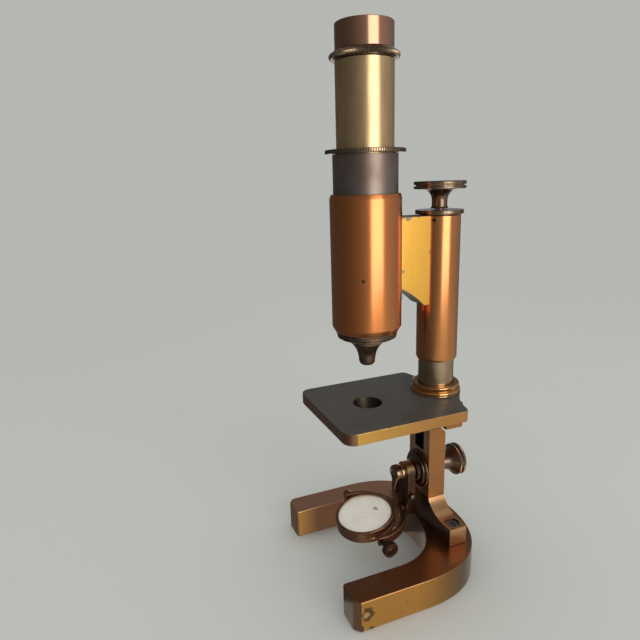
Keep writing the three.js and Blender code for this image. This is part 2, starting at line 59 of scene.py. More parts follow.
camera_place = Vector((222.54, -124.66, 191.56)) * mm
camera_turn, camera_tilt, camera_roll = radians(68.26), radians(14.44), radians(-1.77)
lens_data = bpy.data.cameras.new("camera")
lens_data.lens = 31.06
lens_data.clip_start = 0.01
camera = bpy.data.objects.new("camera", lens_data)
camera.matrix_world = (
    Matrix.Translation(camera_place)
    @ Matrix.Rotation(camera_turn, 4, "Z")
    @ Matrix.Rotation(pi / 2 - camera_tilt, 4, "X")
    @ Matrix.Rotation(camera_roll, 4, "Z")
)
bpy.context.scene.collection.objects.link(camera)
bpy.context.scene.camera = camera


# ---- The floor -----------------------------------------------------------------------------------------------------
# A wide sheet of pale matt board. It isn't part of the microscope. Far out it melts into the wall. The brass mirrors
# only a second, smaller sheet on the lit side, because on the other side it would mirror a dark room.


def node(tree, kind, inputs=(), **settings):
    """A shader node. An input given as another node's output is linked, and any other is set."""
    made = tree.nodes.new("ShaderNode" + kind)
    for name, value in settings.items():
        setattr(made, name, value)
    for name, value in dict(inputs).items():
        if isinstance(value, bpy.types.NodeSocket):
            tree.links.new(value, made.inputs[name])
        else:
            made.inputs[name].default_value = value
    return made


def new_finish(name):
    """An empty material with its Principled shader, and the place on the piece that its patterns read."""
    finish = bpy.data.materials.new(name)
    finish.use_nodes = True
    tree = finish.node_tree
    tree.nodes.clear()
    shader = node(tree, "BsdfPrincipled")
    node(tree, "OutputMaterial", {"Surface": shader.outputs["BSDF"]})
    place = node(tree, "TexCoord").outputs["Object"]
    return finish, tree, shader, place


def grain(tree, place, scale, detail=4.0, stretch=(1, 1, 1)):
    """Cloudy grain. A stretch over 1 packs it tighter along that axis, so the streaks run along the others."""
    laid = node(tree, "Mapping", {"Vector": place, "Scale": stretch}).outputs["Vector"]
    return node(tree, "TexNoise", {"Vector": laid, "Scale": scale, "Detail": detail}).outputs["Fac"]


def spread(tree, value, low, high, to_low=0.0, to_high=1.0):
    """Carries low...high to to_low...to_high, with the ends held."""
    inputs = {"Value": value, "From Min": low, "From Max": high, "To Min": to_low, "To Max": to_high}
    return node(tree, "MapRange", inputs).outputs["Result"]


def maths(tree, operation, first, second):
    return node(tree, "Math", {0: first, 1: second}, operation=operation).outputs["Value"]


def mixed(tree, share, first, second):
    """The first colour, going to the second as share goes from 0 to 1."""
    made = node(tree, "Mix", {0: share}, data_type="RGBA")
    for socket, colour in ((6, first), (7, second)):
        if isinstance(colour, bpy.types.NodeSocket):
            tree.links.new(colour, made.inputs[socket])
        else:
            made.inputs[socket].default_value = (*colour, 1)
    return made.outputs[2]


wall_tone = (0.468, 0.477, 0.451)


def board_finish(name, fade_start, fade_end):
    """Pale matt board that turns to the wall's own glow between these distances."""
    finish, tree, shader, place = new_finish(name)
    pale = mixed(tree, grain(tree, place, 3.0), (0.52, 0.525, 0.485), (0.56, 0.565, 0.52))
    distance = node(tree, "VectorMath", {0: place}, operation="LENGTH").outputs["Value"]
    far = spread(tree, distance, fade_start, fade_end)
    tree.links.new(pale, shader.inputs["Base Color"])
    shader.inputs["Roughness"].default_value = 0.85
    shader.inputs["Specular IOR Level"].default_value = 0.2
    glow = node(tree, "Emission", {"Color": (*wall_tone, 1), "Strength": 1.0}).outputs["Emission"]
    blend = node(tree, "MixShader", {0: far, 1: shader.outputs["BSDF"], 2: glow}).outputs["Shader"]
    output = next(part for part in tree.nodes if part.type == "OUTPUT_MATERIAL")
    tree.links.new(blend, output.inputs["Surface"])
    return finish


def board_disc(name, centre, radius, height, board):
    disc_shape = bmesh.new()
    bmesh.ops.create_circle(disc_shape, cap_ends=True, segments=128, radius=radius)
    bmesh.ops.translate(disc_shape, verts=disc_shape.verts, vec=(*centre, height))
    disc_mesh = bpy.data.meshes.new(name)
    disc_shape.to_mesh(disc_mesh)
    disc_shape.free()
    disc_mesh.materials.append(board)
    disc = bpy.data.objects.new(name, disc_mesh)
    bpy.context.scene.collection.objects.link(disc)
    return disc


mirrored_board = board_disc("mirrored_board", (0.32, 0.16), 0.36, 0.0, board_finish("mirrored_board", 4.0, 5.0))
mirrored_board.visible_camera = False
mirrored_board.visible_diffuse = False
mirrored_board.visible_shadow = False
wide_board = board_disc("wide_board", (0, 0), 8.0, 0.0, board_finish("pale_board", 0.40, 0.85))
wide_board.visible_glossy = False
wide_board.visible_shadow = False


# ---- The light -----------------------------------------------------------------------------------------------------
# One tall soft window stands on the right, and the room is dim on the left, as brass likes it: the tubes show a bright
# upright band between brown sides. A weak lamp above opens the shadows.


def soft_lamp(name, place, aim, width, height, watts, colour):
    lamp_data = bpy.data.lights.new(name, "AREA")
    lamp_data.shape = "RECTANGLE"
    lamp_data.size, lamp_data.size_y = width, height
    lamp_data.energy = watts
    lamp_data.color = colour
    lamp = bpy.data.objects.new(name, lamp_data)
    lamp.location = place
    lamp.rotation_euler = (Vector(aim) - Vector(place)).to_track_quat("-Z", "Y").to_euler()
    bpy.context.scene.collection.objects.link(lamp)
    return lamp


window_bearing = radians(8)
window_distance = 0.95
window_place = (window_distance * cos(window_bearing), window_distance * sin(window_bearing), 0.20)
soft_lamp("window", window_place, (0, 0, 0.20), 0.66, 1.10, 5.5, (1.0, 0.97, 0.92))
soft_lamp("top", (-0.25, 0.35, 1.3), (0, 0, 0.1), 0.9, 0.9, 0.8, (0.95, 0.98, 1.0))

room = bpy.data.worlds.new("room")
bpy.context.scene.world = room
room.use_nodes = True
tree = room.node_tree
tree.nodes.clear()
rays = node(tree, "LightPath")
bearing = node(tree, "TexCoord").outputs["Generated"]
towards_light = (0.81, 0.58, 0.0)
lit_side = node(tree, "VectorMath", {0: bearing, 1: towards_light}, operation="DOT_PRODUCT").outputs["Value"]
nearness = spread(tree, lit_side, -1.0, 1.0)
room_light = spread(tree, maths(tree, "POWER", nearness, 2.0), 0.0, 1.0, 0.055, 0.38)
behind = node(tree, "VectorMath", {0: bearing, 1: (-0.85, 0.49, -0.20)}, operation="DOT_PRODUCT").outputs["Value"]
room_light = maths(tree, "ADD", room_light, spread(tree, behind, 0.92, 0.98, 0.0, 0.7))
wall = node(tree, "Background", {"Color": (*wall_tone, 1), "Strength": 1.0}).outputs["Background"]
dim_room = node(tree, "Background", {"Color": (0.98, 0.98, 1.0, 1), "Strength": room_light}).outputs["Background"]
air = node(tree, "Background", {"Color": (0.97, 0.98, 1.0, 1), "Strength": 0.85}).outputs["Background"]
seen = node(tree, "MixShader", {0: rays.outputs["Is Glossy Ray"], 1: air, 2: dim_room}).outputs["Shader"]
shown = node(tree, "MixShader", {0: rays.outputs["Is Camera Ray"], 1: seen, 2: wall}).outputs["Shader"]
node(tree, "OutputWorld", {"Surface": shown})
bpy.context.scene.view_settings.view_transform = "Standard"


# ---- The horseshoe base --------------------------------------------------------------------------------------------
# A heavy cast brass horseshoe, filed flat, with its edges broken and its four front corners cut off upright. It is
# coated with a red-gold lacquer, which has rubbed through along the edges and is chipped and stained near the table.
# Light and shade are painted into four copies of the lacquer, one for each way a face turns: the sides are painted
# darker towards the back, the top is painted darker with a painted sheen towards the far arm, the inner faces are
# painted dark away from the front tips, and the front ends are painted dark on the near arm and bright on the far one.


def edge_wear(tree, place, reach, low=0.02, high=0.16):
    """1 along the outer edges of a piece, broken up by grain, and 0 on its open faces."""
    rounded = node(tree, "Bevel", {"Radius": reach}, samples=4).outputs["Normal"]
    plain = node(tree, "NewGeometry").outputs["Normal"]
    turn = node(tree, "VectorMath", {0: rounded, 1: plain}, operation="DOT_PRODUCT").outputs["Value"]
    edge = spread(tree, maths(tree, "SUBTRACT", 1.0, turn), low, high)
    return maths(tree, "MULTIPLY", edge, spread(tree, grain(tree, place, 420, 5.0), 0.40, 0.60))


def specks(tree, place, scale, size, share):
    """Small round dots, 1 at their middle. Only that share of the cells holds one."""
    cells = node(tree, "TexVoronoi", {"Vector": place, "Scale": scale})
    dot = spread(tree, cells.outputs["Distance"], size * 0.5, size, 1.0, 0.0)
    parts = node(tree, "SeparateColor", {"Color": cells.outputs["Color"]})
    chosen = maths(tree, "LESS_THAN", parts.outputs["Red"], share)
    return maths(tree, "MULTIPLY", dot, chosen)


def blot(tree, place, spot, size, ragged=0.35):
    """1 within that size of a spot, with a ragged edge."""
    away = node(tree, "VectorMath", {0: place, 1: tuple(spot)}, operation="DISTANCE").outputs["Value"]
    torn = spread(tree, grain(tree, place, 420, 6.0), 0.3, 0.7, -ragged * size, ragged * size)
    return spread(tree, maths(tree, "ADD", away, torn), size * 0.8, size, 1.0, 0.0)


def metal_finish(
    name, tone, shade, worn, rough, streaks, depth=0.5, coat=0.0, wear=0.00035, spots=0.1, cloud=45,
    streak=0.12, dent=0.010, blots=(), fade=None,
):
    """Old metal: its tone clouded with a darker shade, fine streaks, dark specks, bright worn edges, small dents.

    Milled edges are bright on their tips and dark in their grooves. A blot is (spot, size, colour, share). A fade is
    (direction, start, end, colour, share): along that direction the tone turns towards that colour, which paints light
    and shade onto the piece.
    """
    finish, tree, shader, place = new_finish(name)
    clouds = spread(tree, grain(tree, place, cloud, 2.5), 0.38, 0.66)
    lines = grain(tree, place, 110, 3.0, streaks)
    fine = grain(tree, place, 260, 3.0, streaks)
    surface = mixed(tree, maths(tree, "MULTIPLY", clouds, depth), tone, shade)
    streaked = spread(tree, lines, 0.35, 0.70, 0.0, streak)
    surface = mixed(tree, streaked, surface, shade)
    surface = mixed(tree, specks(tree, place, 230, 0.12, spots), surface, [part * 0.25 for part in shade])
    if fade:
        direction, start, end, painted_tone, share = fade
        along = node(tree, "VectorMath", {0: place, 1: direction}, operation="DOT_PRODUCT").outputs["Value"]
        surface = mixed(tree, spread(tree, along, start, end, 0.0, share), surface, painted_tone)
    milling = node(tree, "Attribute", attribute_name="milling").outputs["Fac"]
    tips = spread(tree, milling, 0.2, 1.0, 0.0, 0.85)
    grooves = spread(tree, milling, 0.0, -1.0, 0.0, 0.9)
    surface = mixed(tree, grooves, surface, [part * 0.3 for part in shade])
    rubbed = maths(tree, "MAXIMUM", edge_wear(tree, place, wear), tips)
    surface = mixed(tree, rubbed, surface, worn)
    for spot, size, colour, share in blots:
        surface = mixed(tree, maths(tree, "MULTIPLY", blot(tree, place, spot, size), share), surface, colour)
    tree.links.new(surface, shader.inputs["Base Color"])
    shader.inputs["Metallic"].default_value = 1.0
    shader.inputs["Coat Weight"].default_value = coat
    shader.inputs["Coat Roughness"].default_value = 0.12
    smear = spread(tree, clouds, 0.0, 1.0, rough, rough * 1.15)
    smear = maths(tree, "ADD", smear, spread(tree, fine, 0.3, 0.7, -0.006, 0.010))
    tree.links.new(smear, shader.inputs["Roughness"])
    marks = maths(tree, "ADD", maths(tree, "MULTIPLY", fine, 0.6), grain(tree, place, 150, 2.0))
    bump = node(tree, "Bump", {"Strength": dent, "Distance": 0.0002, "Height": marks}).outputs["Normal"]
    tree.links.new(bump, shader.inputs["Normal"])
    return finish


def sharp_edges(shape, least=radians(30)):
    return [edge for edge in shape.edges if edge.is_manifold and edge.calc_face_angle() > least]


def broken(shape, width, rings=2, least=radians(30)):
    """Rounds every edge that turns by more than the least angle."""
    bmesh.ops.bevel(
        shape, geom=sharp_edges(shape, least), offset=width, offset_type="OFFSET", affect="EDGES",
        segments=rings, profile=0.5, material=-1, clamp_overlap=True,
    )


def finished(shape, name, *finishes):
    """Makes the shape an object: doubles merged, faces out, smooth but for its true edges."""
    bmesh.ops.remove_doubles(shape, verts=shape.verts, dist=0.002 * mm)
    bmesh.ops.recalc_face_normals(shape, faces=shape.faces)
    for face in shape.faces:
        face.smooth = True
    for edge in sharp_edges(shape, radians(38)):
        edge.smooth = False
    mesh = bpy.data.meshes.new(name)
    shape.to_mesh(mesh)
    shape.free()
    for finish in finishes:
        mesh.materials.append(finish)
    piece = bpy.data.objects.new(name, mesh)
    bpy.context.scene.collection.objects.link(piece)
    evened = piece.modifiers.new("even_shading", "WEIGHTED_NORMAL")
    evened.keep_sharp = True
    return piece


def fit(piece, body, slot, *stands_for):
    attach(piece, body)
    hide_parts(*stands_for)


def bow(half_width, depth, squareness, start, steps=96):
    """The round back of the horseshoe: half a superellipse, from its right end to its left."""
    points = []
    for step in range(steps + 1):
        angle = pi * step / steps
        across, along = cos(angle), sin(angle)
        x = half_width * abs(across) ** (2 / squareness) * (1 if across >= 0 else -1)
        points.append((x, start + depth * along ** (2 / squareness)))
    return points


def plate(outline, foot, head):
    """A flat plate with this outline, from height foot to height head."""
    shape = bmesh.new()
    rim = [shape.verts.new((x, y, foot)) for x, y in outline]
    face = shape.faces.new(rim)
    raised = bmesh.ops.extrude_face_region(shape, geom=[face])
    top = [part for part in raised["geom"] if isinstance(part, bmesh.types.BMVert)]
    bmesh.ops.translate(shape, verts=top, vec=(0, 0, head - foot))
    bmesh.ops.recalc_face_normals(shape, faces=shape.faces)
    return shape


base_low, base_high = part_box("horseshoe_base")
outer_half, inner_half = base_high.x, 29.8 * mm
front, back = base_low.y, base_high.y
outer_start, inner_start, inner_back = back - 43 * mm, back - 50 * mm, back - 22.7 * mm
corner_cut, inner_cut = 2.6 * mm, 1.0 * mm
outer_bow = bow(outer_half, back - outer_start, 2.4, outer_start)
inner_bow = bow(inner_half, inner_back - inner_start, 2.2, inner_start)
left_end = [
    (-outer_half, front + corner_cut), (-outer_half + corner_cut, front),
    (-inner_half - inner_cut, front), (-inner_half, front + inner_cut),
]
right_end = [(-x, y) for x, y in reversed(left_end)]
base_outline = outer_bow + left_end + list(reversed(inner_bow)) + right_end
base_shape = plate(base_outline, base_low.z, base_high.z)
broken(base_shape, 0.55 * mm, 3)

stain_place = Vector((outer_half, front + 6.0 * mm, 8.4 * mm))
base_blots = [
    (stain_place, 3.4 * mm, (0.10, 0.045, 0.02), 0.8),
    (stain_place + Vector((0, -0.8, -0.4)) * mm, 1.6 * mm, (0.80, 0.52, 0.20), 0.9),
    (stain_place + Vector((0, -3.6, -6.4)) * mm, 2.2 * mm, (0.05, 0.045, 0.035), 0.9),
    (stain_place + Vector((0, 1.6, -8.0)) * mm, 1.5 * mm, (0.06, 0.045, 0.03), 0.8),
]
# Side copy of the lacquer: painted shade darkens it towards the back.
base_gold = metal_finish(
    "base_side_lacquer_painted_shade", (0.84, 0.42, 0.095), (0.62, 0.25, 0.055), (0.92, 0.64, 0.27), 0.24, (10, 2, 14),
    depth=0.45, coat=0.4, wear=0.0006, spots=0.08, cloud=26, blots=base_blots,
    fade=((0, 1, 0), -10 * mm, 18 * mm, (0.10, 0.050, 0.029), 0.93),
)
# Top copy: painted darker than the sides as painted shade, and lighter towards the far arm as a painted sheen.
base_top_shade_and_sheen = metal_finish(
    "base_top_painted_shade_and_sheen", (0.44, 0.21, 0.10), (0.32, 0.13, 0.06), (0.88, 0.52, 0.20), 0.29, (8, 2, 3),
    depth=0.45, coat=0.4, wear=0.0006, spots=0.05, cloud=26,
    fade=((-1, 0, 0), -15 * mm, 35 * mm, (1.0, 0.53, 0.32), 0.95),
)
# Inner copy: painted shade darkens the inner faces of the arms away from their front tips.
base_inner_painted_shade = metal_finish(
    "base_inner_lacquer_painted_shade", (0.86, 0.46, 0.11), (0.66, 0.30, 0.07), (0.92, 0.64, 0.27), 0.24, (10, 2, 14),
    depth=0.45, coat=0.4, wear=0.0005, spots=0.08, cloud=26,
    fade=((0, 1, 0), front + 0.5 * mm, front + 12 * mm, (0.26, 0.115, 0.055), 0.92),
)
# Front-end copy: painted shade makes the near end dark, and a painted highlight makes the far end bright.
base_ends_painted_light = metal_finish(
    "base_end_lacquer_painted_light", (0.24, 0.125, 0.075), (0.18, 0.085, 0.05), (0.80, 0.48, 0.22), 0.22, (2, 10, 3),
    depth=0.45, coat=0.4, wear=0.0006, spots=0.05, cloud=26,
    fade=((-1, 0, 0), 0.0, 33 * mm, (1.0, 0.56, 0.26), 1.0),
)


def faced(shape, choose):
    """Gives each face the number of its finish, chosen from its normal and its middle."""
    shape.normal_update()
    for face in shape.faces:
        face.material_index = choose(face.normal, face.calc_center_median())


# Picks the painted light and shade copy of the lacquer for each face by the way it turns.
def base_painted_light_by_face(normal, middle):
    if normal.z > 0.5:
        return 1
    if normal.y < -0.3:
        return 3
    return 0 if abs(middle.x) > inner_half + 3 * mm or middle.y > inner_back + 3 * mm else 2


faced(base_shape, base_painted_light_by_face)
base = finished(base_shape, "base_casting", base_gold, base_top_shade_and_sheen, base_inner_painted_shade, base_ends_painted_light)
fit(base, "stand", "lacquered_brass", "horseshoe_base")


# ---- The pillar foot and its screws --------------------------------------------------------------------------------
# A brass cross-bar, filed to a flare in the middle where the pillar stands on it. Two blued steel screws with slotted
# heads, sunk in counterbores, hold it down on the back of the horseshoe. Its front faces are painted dark and its lower
# part is painted darker where it stands on the horseshoe: painted shade.


def softened(source, width, rings=2, least=radians(30)):
    """A merged copy of a CAD node's shape with its edges broken."""
    shape = bmesh.new()
    shape.from_mesh(frame["nodes"][source].data)
    bmesh.ops.remove_doubles(shape, verts=shape.verts, dist=0.001 * mm)
    flat = radians(1)
    bmesh.ops.dissolve_limit(shape, angle_limit=flat, verts=shape.verts, edges=shape.edges)
    broken(shape, width, rings, least)
    return shape


# Painted shade: the brass darkens towards the bottom, where the foot stands on the horseshoe.
foot_brass = metal_finish(
    "foot_brass", (0.86, 0.48, 0.22), (0.56, 0.26, 0.11), (0.90, 0.66, 0.36), 0.30, (10, 3, 2), depth=0.5,
    coat=0.2, wear=0.0004, fade=((0, 0, -1), -24.5 * mm, -20 * mm, (0.42, 0.19, 0.10), 0.85),
)
# A darker copy of the foot's brass for its front faces: painted shade.
foot_front_painted_shade = metal_finish(
    "foot_front_lacquer_painted_shade", (0.16, 0.085, 0.055), (0.09, 0.05, 0.038), (0.62, 0.36, 0.17), 0.32, (10, 3, 2), depth=0.5,
    coat=0.3, wear=0.0004,
)
foot_shape = softened("pillar_foot", 0.3 * mm)
# The front faces take the painted shade copy.
faced(foot_shape, lambda normal, middle: 1 if normal.y < -0.6 else 0)
foot = finished(foot_shape, "foot_flare", foot_brass, foot_front_painted_shade)
fit(foot, "stand", "lacquered_brass", "pillar_foot")

blued_steel = metal_finish(
    "blued_steel", (0.42, 0.44, 0.50), (0.20, 0.19, 0.22), (0.62, 0.63, 0.66), 0.25, (8, 8, 2), depth=0.7,
)
for side in ("left", "right"):
    screw = finished(softened(f"foot_screw_{side}", 0.1 * mm), f"foot_screw_{side}_blued", blued_steel)
    fit(screw, "stand", "blued_steel", f"foot_screw_{side}")


# ---- The pillar and the stage bracket ------------------------------------------------------------------------------
# A square brass pillar with a groove down its front, and the square block on top of it that carries the stage. Both
# are filed, lacquered brass. Two screws go up through the bracket's lip into the stage. The pillar's front face is
# painted lighter as painted light, and its groove is painted near black as painted shade.

pillar_brass = metal_finish(
    "pillar_lacquer", (0.60, 0.26, 0.095), (0.38, 0.15, 0.055), (0.84, 0.58, 0.28), 0.26, (3, 3, 12), depth=0.6,
    coat=0.3, wear=0.0004,
)
# A lighter copy of the pillar's lacquer for its front face: painted light.
pillar_front_painted_light = metal_finish(
    "pillar_front_lacquer_painted_light", (0.84, 0.49, 0.28), (0.58, 0.32, 0.18), (0.80, 0.50, 0.26), 0.30, (3, 3, 12), depth=0.6,
    coat=0.3, wear=0.0004,
)
# Near black for the inside of the front groove: painted shade.
groove_painted_shade = metal_finish(
    "pillar_groove_painted_shade", (0.035, 0.028, 0.026), (0.025, 0.02, 0.02), (0.10, 0.08, 0.06), 0.5, (3, 3, 12), depth=0.5,
)
pillar_low, pillar_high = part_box("pillar")


# Picks the painted light copy for the front face and the painted shade for the groove.
def pillar_painted_light_by_face(normal, middle):
    if normal.y < -0.5:
        return 2 if middle.y > pillar_low.y + 0.5 * mm else 1
    inside = abs(middle.x) < pillar_high.x - 1 * mm and middle.y < pillar_low.y + 4 * mm
    return 2 if inside and abs(normal.z) < 0.5 else 0


pillar_shape = softened("pillar", 0.25 * mm)
faced(pillar_shape, pillar_painted_light_by_face)
pillar = finished(pillar_shape, "pillar_bar", pillar_brass, pillar_front_painted_light, groove_painted_shade)
fit(pillar, "stand", "lacquered_brass", "pillar")
bracket = finished(softened("stage_bracket", 0.25 * mm), "bracket_block", pillar_brass)
fit(bracket, "stand", "lacquered_brass", "stage_bracket")
for side in ("left", "right"):
    screw = finished(softened(f"stage_screw_{side}", 0.08 * mm), f"stage_screw_{side}_blued", blued_steel)
    fit(screw, "stand", "blued_steel", f"stage_screw_{side}")


# ---- The stage -----------------------------------------------------------------------------------------------------
# A brass plate with a round light hole. Its top is stained black, rubbed brown around the hole and scratched by
# slides, and its lacquered sides run back in two sweeps to the lug that goes round the column. The black of the top
# is painted a little grey as a painted sheen, the front faces and the wall of the light hole are painted dark as
# painted shade, and the sides are painted brightest at the front as a painted highlight.


def scratches(tree, place, turn, fineness):
    """Thin straight scratches, turned by that angle about Z."""
    laid = node(tree, "Mapping", {"Vector": place, "Rotation": (0, 0, turn), "Scale": (fineness, 12, 1)})
    lines = node(tree, "TexNoise", {"Vector": laid.outputs["Vector"], "Scale": 1.0, "Detail": 2.0})
    return spread(tree, lines.outputs["Fac"], 0.70, 0.74)


stage_black, tree, shader, place = new_finish("stage_black")
# The stain's colours are painted greyer than a black stain: a painted sheen of the pale wall mirrored in the top.
stain_and_sheen = mixed(tree, spread(tree, grain(tree, place, 30, 6.0), 0.42, 0.7), (0.080, 0.075, 0.066), (0.066, 0.052, 0.041))
centred = node(tree, "Mapping", {"Vector": place, "Location": (0, 12.55 * mm, 0), "Scale": (1, 1, 0)})
reach = node(tree, "VectorMath", {0: centred.outputs["Vector"]}, operation="LENGTH").outputs["Value"]
ragged = maths(tree, "ADD", reach, spread(tree, grain(tree, place, 160, 5.0), 0.3, 0.7, -0.004, 0.004))
rubbed = spread(tree, ragged, 7 * mm, 18 * mm, 0.5, 0.0)
stain_and_sheen = mixed(tree, rubbed, stain_and_sheen, (0.090, 0.064, 0.044))
lines = maths(tree, "MAXIMUM", scratches(tree, place, 0.5, 1500), scratches(tree, place, -0.9, 1300))
lines = maths(tree, "MULTIPLY", lines, 0.5)
stain_and_sheen = mixed(tree, lines, stain_and_sheen, (0.20, 0.17, 0.13))
stain_and_sheen = mixed(tree, edge_wear(tree, place, 0.0003), stain_and_sheen, (0.34, 0.20, 0.09))
tree.links.new(stain_and_sheen, shader.inputs["Base Color"])
shader.inputs["Metallic"].default_value = 0.1
stage_smear = spread(tree, grain(tree, place, 90, 6.0), 0.3, 0.7, 0.30, 0.50)
tree.links.new(stage_smear, shader.inputs["Roughness"])
stage_bump = node(tree, "Bump", {"Strength": 0.12, "Distance": 0.0002, "Height": grain(tree, place, 700, 3.0)})
tree.links.new(stage_bump.outputs["Normal"], shader.inputs["Normal"])

# Painted highlight: the sides are brightest gold at the front and darker towards the back.
stage_brass = metal_finish(
    "stage_lacquer_painted_highlight", (1.0, 0.57, 0.12), (0.85, 0.43, 0.10), (0.95, 0.72, 0.36), 0.24, (10, 2, 14), depth=0.45,
    coat=0.4, wear=0.0003, fade=((0, 1, 0), -30 * mm, 2 * mm, (0.70, 0.32, 0.11), 0.9),
)
# A darker copy of the side lacquer for the front faces: painted shade.
stage_front_painted_shade = metal_finish(
    "stage_front_lacquer_painted_shade", (0.42, 0.22, 0.13), (0.27, 0.13, 0.075), (0.78, 0.48, 0.24), 0.26, (2, 10, 14), depth=0.5,
    coat=0.4, wear=0.0003,
)
# Near black brown for the wall of the light hole: painted shade inside the hole.
hole_painted_shade = metal_finish(
    "stage_hole_painted_shade", (0.085, 0.066, 0.046), (0.050, 0.040, 0.030), (0.15, 0.12, 0.09), 0.42, (8, 8, 2), depth=0.5,
)
stage_shape = softened("stage_plate", 0.3 * mm)
stage_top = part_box("stage_plate")[1].z
light_hole = (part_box("tube_sleeve")[0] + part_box("tube_sleeve")[1]) / 2


# Picks the black top, the painted shade copies for the front faces and the hole wall, and the sides.
def stage_finish_and_painted_shade(normal, middle):
    on_top = normal.z > 0.9 and middle.z > stage_top - 0.1 * mm
    if on_top:
        return 1
    if (middle - light_hole).xy.length < 7.6 * mm:
        return 3
    return 2 if normal.y < -0.15 else 0


faced(stage_shape, stage_finish_and_painted_shade)
for vert in stage_shape.verts:
    inwards = (light_hole - vert.co).xy
    if inwards.length < 6.5 * mm and vert.co.z < stage_top - 3 * mm:
        vert.co.xy += inwards.normalized() * 0.6 * mm
stage = finished(stage_shape, "stage_table", stage_brass, stage_black, stage_front_painted_shade, hole_painted_shade)
fit(stage, "stand", "black_stage", "stage_plate")


# ---- The column collar and post ------------------------------------------------------------------------------------
# The fixed post stands in the stage lug: a worn, once nickelled tube that the moving column slides on. A turned and
# polished red-gold collar of two beads hides the joint with the stage.


def turned(outline, steps=96, seam=0.0):
    """A lathe-turned shape about the Z axis, from (radius, height) points. A ring's outline closes on itself."""
    shape = bmesh.new()
    points = [shape.verts.new((radius * cos(seam), radius * sin(seam), height)) for radius, height in outline]
    cuts = [shape.edges.new(pair) for pair in zip(points, points[1:])]
    if outline[0][0] > 0 or outline[-1][0] > 0:
        cuts.append(shape.edges.new((points[-1], points[0])))
    bmesh.ops.spin(
        shape, geom=points + cuts, cent=(0, 0, 0), axis=(0, 0, 1), angle=2 * pi, steps=steps, use_merge=True,
    )
    bmesh.ops.remove_doubles(shape, verts=shape.verts, dist=0.001 * mm)
    bmesh.ops.recalc_face_normals(shape, faces=shape.faces)
    return shape


def lathe_box(source):
    """A standing round node's axis, outer radius, foot and head, from the frame."""
    low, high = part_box(source)
    return Vector(((low.x + high.x) / 2, (low.y + high.y) / 2, 0)), (high.x - low.x) / 2, low.z, high.z


def stood(shape, axis):
    bmesh.ops.translate(shape, verts=shape.verts, vec=axis)
    return shape


def arc(centre_radius, centre_height, size, start, end, steps=6):
    """Points of a rounded corner or hollow in an outline, with angles in degrees from straight out."""
    points = []
    for step in range(steps + 1):
        angle = radians(start + (end - start) * step / steps)
        points.append((centre_radius + size * cos(angle), centre_height + size * sin(angle)))
    return points


column_axis, collar_radius, collar_foot, collar_head = lathe_box("column_collar")
collar_bore = 9.1 * mm
low_bead, top_bead = 1.15 * mm, 0.85 * mm
collar_outline = [
    (collar_bore, collar_foot), (collar_radius - 0.5 * mm, collar_foot),
    *arc(collar_radius - low_bead, collar_foot + low_bead, low_bead, -60, 90),
    (collar_radius - 0.9 * mm, collar_foot + 2.6 * mm),
    *arc(collar_radius - 0.9 * mm - top_bead * 0.6, collar_head - top_bead, top_bead, -50, 90),
    (collar_bore, collar_head),
]
collar_brass = metal_finish(
    "collar_gold", (0.86, 0.47, 0.16), (0.52, 0.22, 0.08), (0.92, 0.70, 0.36), 0.13, (2, 2, 30), depth=0.45,
    coat=0.4,
)
collar = finished(stood(turned(collar_outline), column_axis), "collar_beads", collar_brass)
fit(collar, "stand", "lacquered_brass", "column_collar")

_, post_radius, post_foot, post_head = lathe_box("column_post")
post_nickel = metal_finish(
    "post_nickel", (0.54, 0.40, 0.265), (0.28, 0.185, 0.115), (0.72, 0.64, 0.52), 0.24, (14, 14, 1), depth=0.55,
    cloud=70, spots=0.1,
)
post_shape = softened("column_post", 0.15 * mm)
post = finished(post_shape, "post_tube", post_nickel)
fit(post, "stand", "worn_nickel", "column_post")


# ---- The column tube, its cap and its set screw --------------------------------------------------------------------
# A drawn brass tube in coppery lacquer that rides up and down on the post. A dark bronzed cap with a finely milled
# edge closes its top, and a small screw in the tube's side holds the cap.


def milled(shape, ridges, depth, least_radius, axis=Vector((0, 0, 0)), low=-1.0, high=1.0):
    """Presses straight milling into the parts of a turned shape that stand further out than the least radius."""
    milling = shape.verts.layers.float.new("milling")
    for vert in shape.verts:
        outward = Vector((vert.co.x - axis.x, vert.co.y - axis.y, 0))
        if outward.length < least_radius or not low <= vert.co.z <= high:
            continue
        step = round(atan2(outward.y, outward.x) / (pi / ridges))
        vert[milling] = -1.0 if step % 2 else 1.0
        if step % 2:
            vert.co -= outward.normalized() * depth
    return shape


_, tube_radius, tube_foot, tube_head = lathe_box("column_tube")
tube_bore = 8.95 * mm
tube_outline = [
    (tube_bore, tube_foot), (tube_radius - 0.6 * mm, tube_foot), (tube_radius, tube_foot + 1.6 * mm),
    (tube_radius, tube_head - 0.3 * mm), (tube_radius - 0.3 * mm, tube_head), (tube_bore, tube_head),
]
column_shape = turned(tube_outline, 128)
broken(column_shape, 0.08 * mm)
column_shape = stood(column_shape, column_axis)


def lain(shape, place, direction):
    """Lays a shape that was turned about Z along a direction, with its origin at the place."""
    turn = Vector((0, 0, 1)).rotation_difference(Vector(direction)).to_matrix().to_4x4()
    bmesh.ops.transform(shape, matrix=Matrix.Translation(place) @ turn, verts=shape.verts)
    return shape


